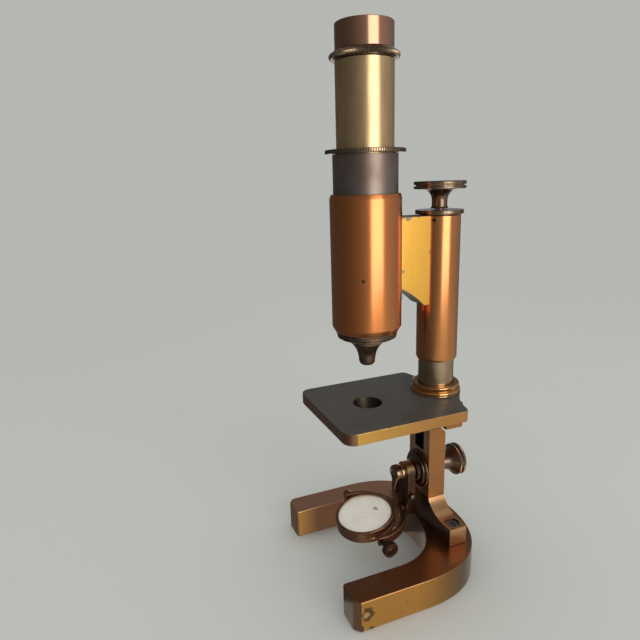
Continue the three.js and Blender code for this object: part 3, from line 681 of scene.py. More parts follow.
def drilled(piece, place, direction, radius, depth):
    """Drills a round hole into a piece, from the place inwards along the direction."""
    drill_shape = turned([(0, -1 * mm), (radius, -1 * mm), (radius, depth), (0, depth)], 24)
    drill_shape = lain(drill_shape, place, direction)
    drill_mesh = bpy.data.meshes.new("drill")
    drill_shape.to_mesh(drill_mesh)
    drill_shape.free()
    drill = bpy.data.objects.new("drill", drill_mesh)
    bpy.context.scene.collection.objects.link(drill)
    hole = piece.modifiers.new("hole", "BOOLEAN")
    hole.operation, hole.solver, hole.object = "DIFFERENCE", "EXACT", drill
    piece.modifiers.move(piece.modifiers.find("hole"), 0)
    hole.show_viewport = True
    bpy.context.view_layer.update()
    made = piece.evaluated_get(bpy.context.evaluated_depsgraph_get())
    cut_mesh = bpy.data.meshes.new_from_object(made)
    piece.modifiers.clear()
    old_mesh = piece.data
    piece.data = cut_mesh
    cut_mesh.name = piece.name
    bpy.data.meshes.remove(old_mesh)
    bpy.data.objects.remove(drill)


column_lacquer = metal_finish(
    "column_lacquer", (0.80, 0.33, 0.11), (0.60, 0.21, 0.065), (0.90, 0.66, 0.36), 0.20, (9, 9, 1), depth=0.4,
    coat=0.5, cloud=30, spots=0.03,
)
column_tube = finished(column_shape, "column_sleeve", column_lacquer)
grub_low, grub_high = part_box("cap_set_screw")
grub_way = Vector(((grub_low.x + grub_high.x) / 2, (grub_low.y + grub_high.y) / 2, 0)) - column_axis
grub_way.normalize()
grub_place = column_axis + grub_way * (tube_radius + 0.1 * mm) + Vector((0, 0, (grub_low.z + grub_high.z) / 2))
drilled(column_tube, grub_place, -grub_way, 0.95 * mm, 3 * mm)
fit(column_tube, "carriage", "lacquered_brass", "column_tube")

dark_bronze = metal_finish(
    "dark_bronze", (0.34, 0.225, 0.15), (0.12, 0.08, 0.06), (0.74, 0.58, 0.37), 0.24, (2, 2, 22), depth=0.8,
    coat=0.1, wear=0.00028, cloud=90,
)
_, cap_radius, cap_plug_foot, cap_head = lathe_box("column_cap")
cap_plate_foot, cap_plug, cap_bore = 173.7 * mm, 8.6 * mm, 3.0 * mm
cap_ridges = 110
cap_outline = [
    (cap_bore, cap_plug_foot), (cap_plug, cap_plug_foot), (cap_plug, cap_plate_foot),
    (cap_radius - 0.3 * mm, cap_plate_foot), (cap_radius, cap_plate_foot + 0.3 * mm),
    (cap_radius, cap_head - 0.3 * mm), (cap_radius - 0.3 * mm, cap_head),
    (cap_radius - 2.2 * mm, cap_head), (cap_radius - 2.4 * mm, cap_head - 0.12 * mm),
    (cap_radius - 2.6 * mm, cap_head), (cap_bore, cap_head),
]
cap_shape = milled(turned(cap_outline, 2 * cap_ridges), cap_ridges, 0.16 * mm, cap_radius - 0.1 * mm)
cap = finished(stood(cap_shape, column_axis), "cap_plate", dark_bronze)
fit(cap, "carriage", "dark_bronze", "column_cap")
dark_steel = metal_finish(
    "dark_steel", (0.10, 0.09, 0.09), (0.05, 0.045, 0.045), (0.30, 0.28, 0.26), 0.35, (8, 8, 2), depth=0.7,
)
set_screw = finished(softened("cap_set_screw", 0.05 * mm), "cap_grub_screw", dark_steel)
fit(set_screw, "carriage", "blued_steel", "cap_set_screw")


# ---- The fine focus knob and its screw -----------------------------------------------------------------------------
# Turned in one piece from bronzed brass: a waisted neck that flares like a trumpet into two thin milled discs with a
# deep groove between them. It drives the steel micrometer screw inside the column.

_, knob_radius, knob_foot, knob_head = lathe_box("fine_focus_knob")
disc_thick = (1.2 * mm, 1.5 * mm)
groove_radius, neck_radius = knob_radius - 0.9 * mm, 3.6 * mm
knob_ridges = 130
lower_disc = knob_head - disc_thick[1] - 0.7 * mm - disc_thick[0]
upper_disc = knob_head - disc_thick[1]
flare = 5.4 * mm
knob_outline = [
    (0, knob_foot), (neck_radius + 0.3 * mm, knob_foot), (neck_radius + 0.45 * mm, knob_foot + 0.35 * mm),
    (neck_radius + 0.3 * mm, knob_foot + 0.7 * mm), (neck_radius, knob_foot + 0.9 * mm),
    *[(radius, height) for radius, height in arc(neck_radius + flare, lower_disc - flare, flare, 180, 96, 12)],
    (knob_radius - 2.4 * mm, lower_disc), (knob_radius - 0.2 * mm, lower_disc), (knob_radius, lower_disc + 0.2 * mm),
    (knob_radius, lower_disc + disc_thick[0] - 0.2 * mm), (knob_radius - 0.2 * mm, lower_disc + disc_thick[0]),
    (groove_radius, lower_disc + disc_thick[0] + 0.1 * mm), (groove_radius, upper_disc - 0.1 * mm),
    (knob_radius - 0.2 * mm, upper_disc), (knob_radius, upper_disc + 0.2 * mm),
    (knob_radius, knob_head - 0.25 * mm), (knob_radius - 0.25 * mm, knob_head),
    (knob_radius - 1.6 * mm, knob_head), (knob_radius - 2.0 * mm, knob_head - 0.25 * mm),
    (2.0 * mm, knob_head - 0.25 * mm), (0.6 * mm, knob_head - 0.45 * mm), (0, knob_head - 0.5 * mm),
]
knob_shape = milled(turned(knob_outline, 2 * knob_ridges), knob_ridges, 0.15 * mm, knob_radius - 0.1 * mm)
knob = finished(stood(knob_shape, column_axis), "fine_knob_discs", dark_bronze)
fit(knob, "fine_knob", "dark_bronze", "fine_focus_knob")


# ---- The arm -------------------------------------------------------------------------------------------------------
# A flat brass web, sawn and filed, brazed between the sleeve and the column tube. Its sides are brightly lacquered with
# an upright grain, its upper edge is chipped, and its slanting lower edge has lost its lacquer.

arm_low, arm_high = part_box("arm")
chip_tone = (0.30, 0.25, 0.17)
arm_blots = [
    (Vector((arm_high.x, 5.9 * mm, arm_high.z - 0.5 * mm)), 1.5 * mm, chip_tone, 1.0),
    (Vector((arm_high.x, 3.0 * mm, arm_high.z)), 0.9 * mm, chip_tone, 0.9),
    (Vector((arm_high.x, 11.0 * mm, arm_high.z)), 0.7 * mm, chip_tone, 0.9),
    (Vector((arm_high.x, 3.2 * mm, 149.0 * mm)), 0.7 * mm, chip_tone, 0.9),
    (Vector((arm_high.x, 17.6 * mm, 157.0 * mm)), 0.9 * mm, (0.36, 0.16, 0.05), 0.9),
]
arm_gold = metal_finish(
    "arm_gold", (0.92, 0.50, 0.085), (0.74, 0.36, 0.055), (0.46, 0.40, 0.28), 0.30, (6, 9, 1), depth=0.35,
    coat=0.3, wear=0.0009, streak=0.3, blots=arm_blots,
)
arm_bare = metal_finish(
    "arm_bare_edge", (0.34, 0.31, 0.24), (0.17, 0.14, 0.10), (0.60, 0.52, 0.38), 0.38, (8, 3, 3), depth=0.8,
)
arm_shape = softened("arm", 0.3 * mm)
faced(arm_shape, lambda normal, middle: 1 if normal.z < -0.3 or normal.z > 0.8 else 0)
arm = finished(arm_shape, "arm_web", arm_gold, arm_bare)
fit(arm, "carriage", "lacquered_brass", "arm")


# ---- The tube sleeve and its cloth ---------------------------------------------------------------------------------
# A thick drawn brass tube with both ends chamfered, lacquered orange-brown. A strip of dark cloth glued inside it
# grips the body tube, so that the tube can be pushed up and down by hand and stays where it is left.

optical_axis, sleeve_radius, sleeve_foot, sleeve_head = lathe_box("tube_sleeve")
sleeve_bore = 15.2 * mm
sleeve_mouth, mouth_height = 14.55 * mm, 1.7 * mm
foot_chamfer, head_chamfer = (1.3 * mm, 2.5 * mm), (0.6 * mm, 1.9 * mm)
sleeve_outline = [
    (sleeve_mouth, sleeve_foot), (sleeve_radius - foot_chamfer[0], sleeve_foot),
    (sleeve_radius, sleeve_foot + foot_chamfer[1]), (sleeve_radius, sleeve_head - head_chamfer[1]),
    (sleeve_radius - head_chamfer[0], sleeve_head), (sleeve_bore, sleeve_head),
    (sleeve_bore, sleeve_foot + mouth_height), (sleeve_mouth, sleeve_foot + mouth_height),
]
sleeve_shape = turned(sleeve_outline, 160)
broken(sleeve_shape, 0.12 * mm, 2, radians(10))
speck_place = optical_axis + Vector((13.7, -8.5, 148.0)) * mm
sleeve_lacquer = metal_finish(
    "sleeve_lacquer", (0.84, 0.29, 0.075), (0.66, 0.19, 0.05), (0.92, 0.68, 0.34), 0.22, (9, 9, 1), depth=0.35,
    coat=0.9, cloud=26, spots=0.02, blots=[(speck_place, 0.7 * mm, (0.10, 0.035, 0.015), 1.0)],
)
sleeve = finished(stood(sleeve_shape, optical_axis), "sleeve_tube", sleeve_lacquer)
fit(sleeve, "carriage", "lacquered_brass", "tube_sleeve")

lining_cloth, tree, shader, place = new_finish("lining_cloth")
weave = node(tree, "TexWave", {"Vector": place, "Scale": 900.0, "Distortion": 1.5}, bands_direction="Z")
tree.links.new(mixed(tree, weave.outputs["Fac"], (0.02, 0.018, 0.02), (0.06, 0.05, 0.05)), shader.inputs["Base Color"])
shader.inputs["Roughness"].default_value = 0.95
shader.inputs["Sheen Weight"].default_value = 0.4
cloth_bump = node(tree, "Bump", {"Strength": 0.4, "Distance": 0.0003, "Height": weave.outputs["Fac"]})
tree.links.new(cloth_bump.outputs["Normal"], shader.inputs["Normal"])
lining = finished(softened("sleeve_lining", 0.03 * mm), "lining_strip", lining_cloth)
fit(lining, "carriage", "cloth", "sleeve_lining")


# ---- The body tube and its flange ----------------------------------------------------------------------------------
# The main tube is brass bronzed almost black, rubbed by the cloth and blotched red with age. A thin flange with a
# coarsely milled edge is screwed on its top and stops it on the sleeve. The nosepiece closes its lower end.

_, body_radius, body_foot, body_head = lathe_box("body_tube")
body_bronze = metal_finish(
    "body_bronze", (0.30, 0.25, 0.215), (0.22, 0.145, 0.11), (0.50, 0.40, 0.28), 0.38, (4, 4, 2), depth=0.8,
    cloud=60, spots=0.30,
)
body_bore = 12.8 * mm
body_outline = [
    (body_bore, body_foot), (body_radius, body_foot), (body_radius, body_head), (body_bore, body_head),
]
body_shape = turned(body_outline, 128)
broken(body_shape, 0.15 * mm)
body_tube = finished(stood(body_shape, optical_axis), "body_tube_bronzed", body_bronze)
fit(body_tube, "body", "dark_bronze", "body_tube")

_, flange_radius, flange_foot, flange_head = lathe_box("tube_flange")
flange_ridges = 104
flange_bore = 12.8 * mm
flange_outline = [
    (flange_bore, flange_foot), (flange_radius - 0.35 * mm, flange_foot), (flange_radius, flange_foot + 0.3 * mm),
    (flange_radius, flange_head - 0.3 * mm), (flange_radius - 0.35 * mm, flange_head),
    (flange_radius - 1.5 * mm, flange_head), (flange_radius - 1.7 * mm, flange_head - 0.15 * mm),
    (flange_radius - 1.9 * mm, flange_head), (flange_bore, flange_head),
]
flange_shape = milled(turned(flange_outline, 2 * flange_ridges), flange_ridges, 0.28 * mm, flange_radius - 0.1 * mm)
flange = finished(stood(flange_shape, optical_axis), "flange_milled", dark_bronze)
fit(flange, "body", "dark_bronze", "tube_flange")

_, nose_radius, nose_foot, nose_head = lathe_box("nosepiece")
nose_shoulder = 124.1 * mm
nose_outline = [
    (9.9 * mm, nose_foot), (nose_radius - 0.5 * mm, nose_foot), (nose_radius - 0.2 * mm, nose_foot + 0.3 * mm),
    (nose_radius - 0.2 * mm, nose_foot + 0.9 * mm), (nose_radius - 0.45 * mm, nose_foot + 1.1 * mm),
    (nose_radius - 0.2 * mm, nose_foot + 1.3 * mm),
    *arc(nose_radius - 1.1 * mm, nose_shoulder - 1.1 * mm, 1.1 * mm, -20, 70),
    (12.4 * mm, nose_shoulder), (12.4 * mm, nose_head), (9.9 * mm, nose_head),
]
nosepiece = finished(stood(turned(nose_outline, 128), optical_axis), "nosepiece_ring", dark_bronze)
fit(nosepiece, "body", "dark_bronze", "nosepiece")


# ---- The objective -------------------------------------------------------------------------------------------------
# The low-power objective screws into the nosepiece by a finely reeded collar. Its bronzed barrel is turned hollow,
# like a horn, down to a small lip that holds the front lens.

_, reeded_radius, reeded_foot, reeded_head = lathe_box("objective_collar")
reeds = 120
reeded_shoulder = reeded_foot + 1.9 * mm
reeded_outline = [
    (7.2 * mm, reeded_foot), (10.3 * mm, reeded_foot), (10.8 * mm, reeded_foot + 0.15 * mm),
    (12.6 * mm, reeded_foot + 0.85 * mm), (12.9 * mm, reeded_foot + 1.0 * mm), (12.75 * mm, reeded_foot + 1.15 * mm),
    (reeded_radius - 0.15 * mm, reeded_foot + 1.4 * mm), (reeded_radius, reeded_foot + 1.5 * mm),
    (reeded_radius, reeded_shoulder - 0.1 * mm), (reeded_radius - 0.1 * mm, reeded_shoulder),
    (9.6 * mm, reeded_shoulder), (9.6 * mm, reeded_head), (7.2 * mm, reeded_head),
]
reeded_shape = milled(turned(reeded_outline, 2 * reeds), reeds, 0.2 * mm, 10.6 * mm, high=reeded_foot + 0.9 * mm)
reeded = finished(stood(reeded_shape, optical_axis), "objective_reeds", dark_bronze)
fit(reeded, "body", "dark_bronze", "objective_collar")

_, horn_radius, horn_foot, horn_head = lathe_box("objective_barrel")
lens_seat = 1.7 * mm
horn_hollow = [(4.0, 3.8), (4.35, 5.5), (4.85, 7.0), (5.6, 8.4), (6.6, 9.9), (7.6, 11.0)]
horn_outline = [
    (lens_seat, horn_foot), (2.5 * mm, horn_foot), (2.9 * mm, horn_foot + 0.2 * mm),
    (3.45 * mm, horn_foot + 0.8 * mm), (3.5 * mm, horn_foot + 1.1 * mm), (3.75 * mm, horn_foot + 1.5 * mm),
    *[(radius * mm, horn_foot + rise * mm) for radius, rise in horn_hollow],
    (horn_radius - 0.1 * mm, horn_head - 0.7 * mm), (horn_radius, horn_head - 0.5 * mm),
    (horn_radius, horn_head), (6.0 * mm, horn_head), (3.2 * mm, horn_head - 5.5 * mm), (lens_seat, horn_foot + 1.6 * mm),
]
horn = finished(stood(turned(horn_outline, 128), optical_axis), "objective_horn", dark_bronze)
fit(horn, "body", "dark_bronze", "objective_barrel")


# ---- The draw tube -------------------------------------------------------------------------------------------------
# A plain drawn brass tube, never lacquered, because it slides inside the body tube. Handling has left soft upright
# streaks and a few dark spots on it.

_, draw_radius, draw_foot, draw_head = lathe_box("draw_tube")
draw_bore = 11.9 * mm
draw_outline = [
    (draw_bore, draw_foot), (draw_radius, draw_foot), (draw_radius, draw_head), (draw_bore, draw_head),
]
draw_shape = turned(draw_outline, 128)
broken(draw_shape, 0.12 * mm)
draw_brass = metal_finish(
    "draw_brass", (0.88, 0.62, 0.33), (0.54, 0.34, 0.17), (0.85, 0.72, 0.48), 0.27, (6, 6, 0.5), depth=0.35,
    cloud=55, spots=0.08, streak=0.5,
)
draw_tube = finished(stood(draw_shape, optical_axis), "draw_tube_brass", draw_brass)
fit(draw_tube, "draw", "pale_brass", "draw_tube")


# ---- The eyepiece --------------------------------------------------------------------------------------------------
# It drops into the draw tube up to a bronzed, milled ring. Above the ring is a cap lacquered red-brown, with a
# blackened disc sunk in its top that leaves a small round window for the eye lens.

_, ring_radius, ring_foot, ring_head = lathe_box("eyepiece_ring")
ring_ridges = 140
ring_bead = 1.2 * mm
ring_outline = [
    (11.0 * mm, ring_foot), (12.9 * mm, ring_foot), (13.1 * mm, ring_foot + 0.15 * mm),
    (13.1 * mm, ring_foot + 0.4 * mm), (12.9 * mm, ring_foot + 0.55 * mm),
    *arc(ring_radius - ring_bead, ring_foot + 1.45 * mm, ring_bead, -60, 50, 9),
    (13.3 * mm, ring_head - 0.35 * mm), (12.9 * mm, ring_head), (11.0 * mm, ring_head),
]
ring_shape = milled(turned(ring_outline, 2 * ring_ridges), ring_ridges, 0.28 * mm, 13.25 * mm)
eyepiece_ring = finished(stood(ring_shape, optical_axis), "eyepiece_ring_milled", dark_bronze)
fit(eyepiece_ring, "eyepiece", "dark_bronze", "eyepiece_ring")

_, head_radius, head_foot, head_top = lathe_box("eyepiece_head")
head_bore = 11.1 * mm
head_outline = [
    (head_bore, head_foot), (head_radius, head_foot), (head_radius, head_top - 0.25 * mm),
    (head_radius - 0.25 * mm, head_top), (head_bore + 0.25 * mm, head_top), (head_bore, head_top - 0.25 * mm),
]
head_shape = turned(head_outline, 128)
broken(head_shape, 0.06 * mm)
head_lacquer = metal_finish(
    "eyepiece_lacquer", (0.62, 0.32, 0.19), (0.46, 0.20, 0.11), (0.90, 0.68, 0.38), 0.18, (7, 7, 1), depth=0.4,
    coat=0.6, cloud=40,
)
eyepiece_head = finished(stood(head_shape, optical_axis), "eyepiece_cap", head_lacquer)
fit(eyepiece_head, "eyepiece", "lacquered_brass", "eyepiece_head")

blacking, tree, shader, place = new_finish("blacking")
tree.links.new(
    mixed(tree, spread(tree, grain(tree, place, 120, 6.0), 0.4, 0.7), (0.010, 0.010, 0.011), (0.035, 0.030, 0.027)),
    shader.inputs["Base Color"],
)
black_smear = spread(tree, grain(tree, place, 200, 4.0), 0.3, 0.7, 0.35, 0.55)
tree.links.new(black_smear, shader.inputs["Roughness"])
black_bump = node(tree, "Bump", {"Strength": 0.15, "Distance": 0.0001, "Height": grain(tree, place, 900, 3.0)})
tree.links.new(black_bump.outputs["Normal"], shader.inputs["Normal"])

_, disc_radius, disc_foot, disc_head = lathe_box("eyepiece_disc")
aperture = 4.2 * mm
disc_outline = [
    (aperture, disc_foot), (disc_radius, disc_foot), (disc_radius, disc_head - 0.2 * mm),
    (disc_radius - 0.2 * mm, disc_head), (aperture + 2.2 * mm, disc_head),
    *arc(aperture + 2.2 * mm, disc_head - 1.4 * mm, 1.4 * mm, 90, 150, 5),
    (aperture, disc_foot + 0.5 * mm),
]
disc_piece = finished(stood(turned(disc_outline, 96), optical_axis), "eyepiece_eye_disc", blacking)
fit(disc_piece, "eyepiece", "dark_bronze", "eyepiece_disc")


# ---- The pivot of the mirror bar, its nut and its clamp knob -------------------------------------------------------
# A bolt goes through the pillar from front to back. In front of the pillar it carries a turned bronzed boss with two
# rims painted bright, partly worn and partly a painted highlight, then the mirror bar, a washer and a milled nut.
# Behind the pillar a milled knob shaped like a trumpet draws it all tight.

pivot = next(joint for joint in frame["joints"] if joint["name"] == "mirror_swing")
bolt_line = Vector((pivot["pos_m"][0], 0, pivot["pos_m"][2]))
boss_low, boss_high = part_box("pivot_boss")
boss_radius = (boss_high.x - boss_low.x) / 2
boss_bore = 2.6 * mm
boss_outline = [
    (boss_bore, boss_low.y), (5.3 * mm, boss_low.y), (5.6 * mm, boss_low.y + 0.3 * mm), (6.1 * mm, boss_low.y + 1.0 * mm),
    (7.9 * mm, boss_low.y + 1.25 * mm), *arc(8.05 * mm, boss_low.y + 1.75 * mm, 0.45 * mm, -60, 60, 4),
    (7.9 * mm, boss_low.y + 2.3 * mm), (9.2 * mm, boss_low.y + 2.5 * mm),
    *arc(boss_radius - 0.55 * mm, boss_high.y - 0.6 * mm, 0.55 * mm, -60, 60, 4),
    (9.3 * mm, boss_high.y), (boss_bore, boss_high.y),
]
# The wide bright edges on the boss and its rims are partly wear and partly a painted highlight.
boss_bronze = metal_finish(
    "boss_bronze", (0.26, 0.17, 0.11), (0.10, 0.07, 0.055), (0.86, 0.56, 0.28), 0.22, (2, 22, 2), depth=0.6,
    coat=0.2, wear=0.0010, cloud=90,
)
boss = finished(lain(turned(boss_outline, 96), bolt_line, (0, 1, 0)), "boss_rims", boss_bronze)
fit(boss, "stand", "dark_bronze", "pivot_boss")

steel = metal_finish(
    "bright_steel", (0.34, 0.33, 0.32), (0.16, 0.14, 0.13), (0.60, 0.60, 0.58), 0.28, (3, 3, 20), depth=0.7, cloud=120,
)
bolt = finished(softened("clamp_bolt", 0.15 * mm), "clamp_bolt_steel", steel)
fit(bolt, "clamp", "worn_nickel", "clamp_bolt")
washer = finished(softened("pivot_washer", 0.12 * mm), "pivot_washer_brass", foot_brass)
fit(washer, "swing", "pale_brass", "pivot_washer")


def knob_head(radius, thick, ridges, depth, bore=0.0, hollow=0.0):
    """A milled round head with rounded rims, lying from height 0 to its thickness, dished on top by the hollow."""
    rim = thick * 0.22
    outline = [
        (bore, 0), (radius - rim, 0), (radius - rim * 0.3, rim * 0.3), (radius, rim), (radius, thick - rim),
        (radius - rim * 0.3, thick - rim * 0.3), (radius - rim, thick), (radius * 0.62, thick),
        (radius * 0.55, thick - hollow), (bore, thick - hollow),
    ]
    return milled(turned(outline, 2 * ridges), ridges, depth, radius - rim * 0.1)


nut_low, nut_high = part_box("pivot_nut")
nut_shape = knob_head((nut_high.x - nut_low.x) / 2, nut_high.y - nut_low.y, 64, 0.1 * mm, 2.4 * mm, 0.3 * mm)
nut = finished(lain(nut_shape, bolt_line + Vector((0, nut_high.y, 0)), (0, -1, 0)), "pivot_nut_milled", boss_bronze)
fit(nut, "swing", "dark_bronze", "pivot_nut")

grip_low, grip_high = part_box("clamp_knob")
grip_radius = (grip_high.x - grip_low.x) / 2
grip_length = grip_high.y - grip_low.y
bead_thick, grip_ridges = 1.5 * mm, 90
grip_outline = [
    (2.4 * mm, 0), (3.6 * mm, 0), (3.9 * mm, 0.3 * mm), (3.9 * mm, 3.2 * mm), (4.0 * mm, 4.4 * mm),
    (4.35 * mm, 6.0 * mm), (4.9 * mm, 7.4 * mm), (5.7 * mm, 8.8 * mm), (6.8 * mm, 10.0 * mm),
    (7.6 * mm, grip_length - 2 * bead_thick - 0.75 * mm),
    *arc(grip_radius - 0.75 * mm, grip_length - 1.5 * bead_thick - 0.85 * mm, 0.75 * mm, -75, 75, 6),
    (7.4 * mm, grip_length - bead_thick - 0.5 * mm),
    *arc(grip_radius - 0.75 * mm, grip_length - 0.78 * mm, 0.75 * mm, -75, 85, 6),
    (5.0 * mm, grip_length - 0.03 * mm), (4.4 * mm, grip_length - 0.4 * mm), (2.4 * mm, grip_length - 0.4 * mm),
]
grip_shape = milled(turned(grip_outline, 2 * grip_ridges), grip_ridges, 0.2 * mm, grip_radius - 0.3 * mm)
grip = finished(lain(grip_shape, bolt_line + Vector((0, grip_low.y, 0)), (0, 1, 0)), "clamp_knob_milled", dark_bronze)
fit(grip, "clamp", "dark_bronze", "clamp_knob")


# ---- The mirror bar and the screw that grips the stem --------------------------------------------------------------
# A flat bronzed brass bar with round ends hangs from the pivot. Its lower end is split and bored for the stem of the
# mirror fork, and a small milled cross screw pinches the split. Its upper end is painted golden as a painted highlight.

# Painted highlight: above 46 mm the dark bar turns golden.
bar_bronze = metal_finish(
    "bar_bronze", (0.115, 0.072, 0.048), (0.07, 0.044, 0.032), (0.55, 0.36, 0.19), 0.28, (3, 3, 10), depth=0.6,
    coat=0.15, wear=0.0004, cloud=80, fade=((0, 0, 1), 46 * mm, 48 * mm, (0.80, 0.47, 0.21), 0.85),
)
bar = finished(softened("mirror_bar", 0.25 * mm), "mirror_bar_filed", bar_bronze)
fit(bar, "swing", "dark_bronze", "mirror_bar")

pinch_low, pinch_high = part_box("stem_clamp_screw")
pinch_line = Vector((0, (pinch_low.y + pinch_high.y) / 2, (pinch_low.z + pinch_high.z) / 2))
pinch_head_length, pinch_shank = 3.2 * mm, 1.15 * mm
pinch_radius = (pinch_high.y - pinch_low.y) / 2
pinch_shape = knob_head(pinch_radius, pinch_head_length, 36, 0.2 * mm, 0.0, 0.25 * mm)
pinch_place = pinch_line + Vector((pinch_low.x + pinch_head_length, 0, 0))
pinch = finished(lain(pinch_shape, pinch_place, (-1, 0, 0)), "stem_clamp_head", dark_bronze)
fit(pinch, "stem_clamp", "dark_bronze", "stem_clamp_screw")
shank_outline = [
    (0, 0), (pinch_shank, 0), (pinch_shank, pinch_high.x - pinch_low.x - pinch_head_length - 0.4 * mm),
    (pinch_shank - 0.4 * mm, pinch_high.x - pinch_low.x - pinch_head_length), (0, pinch_high.x - pinch_low.x - pinch_head_length),
]
shank = finished(lain(turned(shank_outline, 24), pinch_place, (1, 0, 0)), "stem_clamp_shank", steel)
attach(shank, "stem_clamp")
pinch_nut = finished(softened("stem_clamp_nut", 0.12 * mm), "stem_clamp_nut_brass", bar_bronze)
fit(pinch_nut, "swing", "dark_bronze", "stem_clamp_nut")


# ---- The mirror fork and its screws --------------------------------------------------------------------------------
# A half ring of reddish bronzed brass, with a stem at its back that turns in the bar and is held by a small nut. The
# mirror cell hangs between the fork's ends, on a plain pivot screw and on a thumb screw with a milled disc.

tilt = next(joint for joint in frame["joints"] if joint["name"] == "mirror_tilt")
tilt_place, tilt_line = Vector(tilt["pos_m"]), Vector(tilt["axis"])
lean = atan2(-tilt_line.z, tilt_line.x)
fork_place = Matrix.Translation(tilt_place) @ Matrix.Rotation(lean, 4, "Y")
fork_inner, fork_outer, fork_half_height = 17.6 * mm, 20.0 * mm, 2.2 * mm
overhang = radians(8)


def section_spun(corners, start, sweep, steps):
    """A bar with this (radius, height) section, bent round the Z axis."""
    shape = bmesh.new()
    ends = [shape.verts.new((radius * cos(start), radius * sin(start), height)) for radius, height in corners]
    rim = [shape.edges.new((first, second)) for first, second in zip(ends, ends[1:] + ends[:1])]
    bmesh.ops.spin(shape, geom=ends + rim, cent=(0, 0, 0), axis=(0, 0, 1), angle=sweep, steps=steps)
    bmesh.ops.holes_fill(shape, edges=shape.edges, sides=0)
    bmesh.ops.recalc_face_normals(shape, faces=shape.faces)
    return shape


fork_section = [
    (fork_inner, -fork_half_height), (fork_outer, -fork_half_height),
    (fork_outer, fork_half_height), (fork_inner, fork_half_height),
]
fork_shape = section_spun(fork_section, -overhang, pi + 2 * overhang, 72)
broken(fork_shape, 0.45 * mm, 3)
stem_outline = [
    (0, 0), (3.1 * mm, 0), (2.7 * mm, 0.7 * mm), (2.6 * mm, 2.6 * mm), (2.3 * mm, 2.9 * mm),
    (1.6 * mm, 3.1 * mm), (1.6 * mm, 9.0 * mm), (1.4 * mm, 9.4 * mm), (0, 9.4 * mm),
]
stem_shape = lain(turned(stem_outline, 32), (0, fork_outer - 1.2 * mm, 0), (0, 1, 0))
bmesh.ops.transform(fork_shape, matrix=fork_place, verts=fork_shape.verts)
bmesh.ops.transform(stem_shape, matrix=fork_place, verts=stem_shape.verts)
fork_bronze = metal_finish(
    "fork_bronze", (0.52, 0.26, 0.14), (0.29, 0.14, 0.085), (0.70, 0.46, 0.27), 0.25, (3, 3, 8), depth=0.7,
    coat=0.3, wear=0.0004, cloud=90,
)
fork = finished(fork_shape, "fork_half_ring", fork_bronze)
fit(fork, "fork", "dark_bronze", "mirror_fork")
stem = finished(stem_shape, "fork_stem", fork_bronze)
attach(stem, "fork")
stem_nut = finished(softened("stem_nut", 0.15 * mm), "stem_nut_filed", dark_bronze)
fit(stem_nut, "fork", "dark_bronze", "stem_nut")

thumb_low, thumb_high = 20.3 * mm, 27.1 * mm
disc_start, thumb_disc = 4.2 * mm, 3.8 * mm
thumb_outline = [
    (0, 0), (1.9 * mm, 0), (2.1 * mm, 0.25 * mm), (1.9 * mm, 0.6 * mm), (1.45 * mm, 1.1 * mm), (1.4 * mm, 2.4 * mm),
    (1.7 * mm, 3.3 * mm), (2.3 * mm, disc_start - 0.15 * mm), (thumb_disc - 0.3 * mm, disc_start),
    (thumb_disc, disc_start + 0.35 * mm), (thumb_disc, thumb_high - thumb_low - 0.35 * mm),
    (thumb_disc - 0.3 * mm, thumb_high - thumb_low), (thumb_disc - 0.9 * mm, thumb_high - thumb_low),
    (thumb_disc - 1.15 * mm, thumb_high - thumb_low - 0.3 * mm), (1.1 * mm, thumb_high - thumb_low - 0.3 * mm),
    (0.8 * mm, thumb_high - thumb_low - 0.1 * mm), (0, thumb_high - thumb_low - 0.1 * mm),
]
thumb_shape = milled(turned(thumb_outline, 96), 48, 0.18 * mm, thumb_disc - 0.1 * mm)
thumb_shape = lain(thumb_shape, (thumb_low, 0, 0), (1, 0, 0))
bmesh.ops.transform(thumb_shape, matrix=fork_place, verts=thumb_shape.verts)
thumb_bronze = metal_finish(
    "thumb_bronze", (0.13, 0.080, 0.055), (0.06, 0.038, 0.028), (0.48, 0.32, 0.20), 0.28, (3, 3, 8), depth=0.7,
    cloud=120,
)
thumb = finished(thumb_shape, "thumb_screw_milled", thumb_bronze)
fit(thumb, "thumb_screw", "dark_bronze", "mirror_thumb_screw")
pivot_screw = finished(softened("mirror_pivot_screw", 0.12 * mm), "pivot_screw_filed", fork_bronze)
fit(pivot_screw, "fork", "dark_bronze", "mirror_pivot_screw")


# ---- The mirror cell, its two mirrors and their bezels -------------------------------------------------------------
# A turned bronze ring holds a flat mirror on one side and a dished one on the other, each under a thin bright bezel.
# The silvering behind the glass has gone milky and is speckled with grey where it has come away.

cell_lean = Matrix.Rotation(radians(10), 4, "X")
cell_place = fork_place @ cell_lean
cell_radius, cell_half, web_half, recess = 15.0 * mm, 3.0 * mm, 0.5 * mm, 14.1 * mm
cell_outline = [
    (0, -web_half), (recess, -web_half), (recess, -cell_half), (cell_radius - 0.35 * mm, -cell_half),
    (cell_radius, -cell_half + 0.35 * mm), (cell_radius, -0.9 * mm), (cell_radius - 0.25 * mm, -0.6 * mm),
    (cell_radius - 0.25 * mm, 0.6 * mm), (cell_radius, 0.9 * mm), (cell_radius, cell_half - 0.35 * mm),
    (cell_radius - 0.35 * mm, cell_half), (recess, cell_half), (recess, web_half), (0, web_half),
]
cell_shape = turned(cell_outline, 96)
bmesh.ops.transform(cell_shape, matrix=cell_place, verts=cell_shape.verts)
cell = finished(cell_shape, "cell_ring", fork_bronze)
fit(cell, "mirror", "dark_bronze", "mirror_cell")

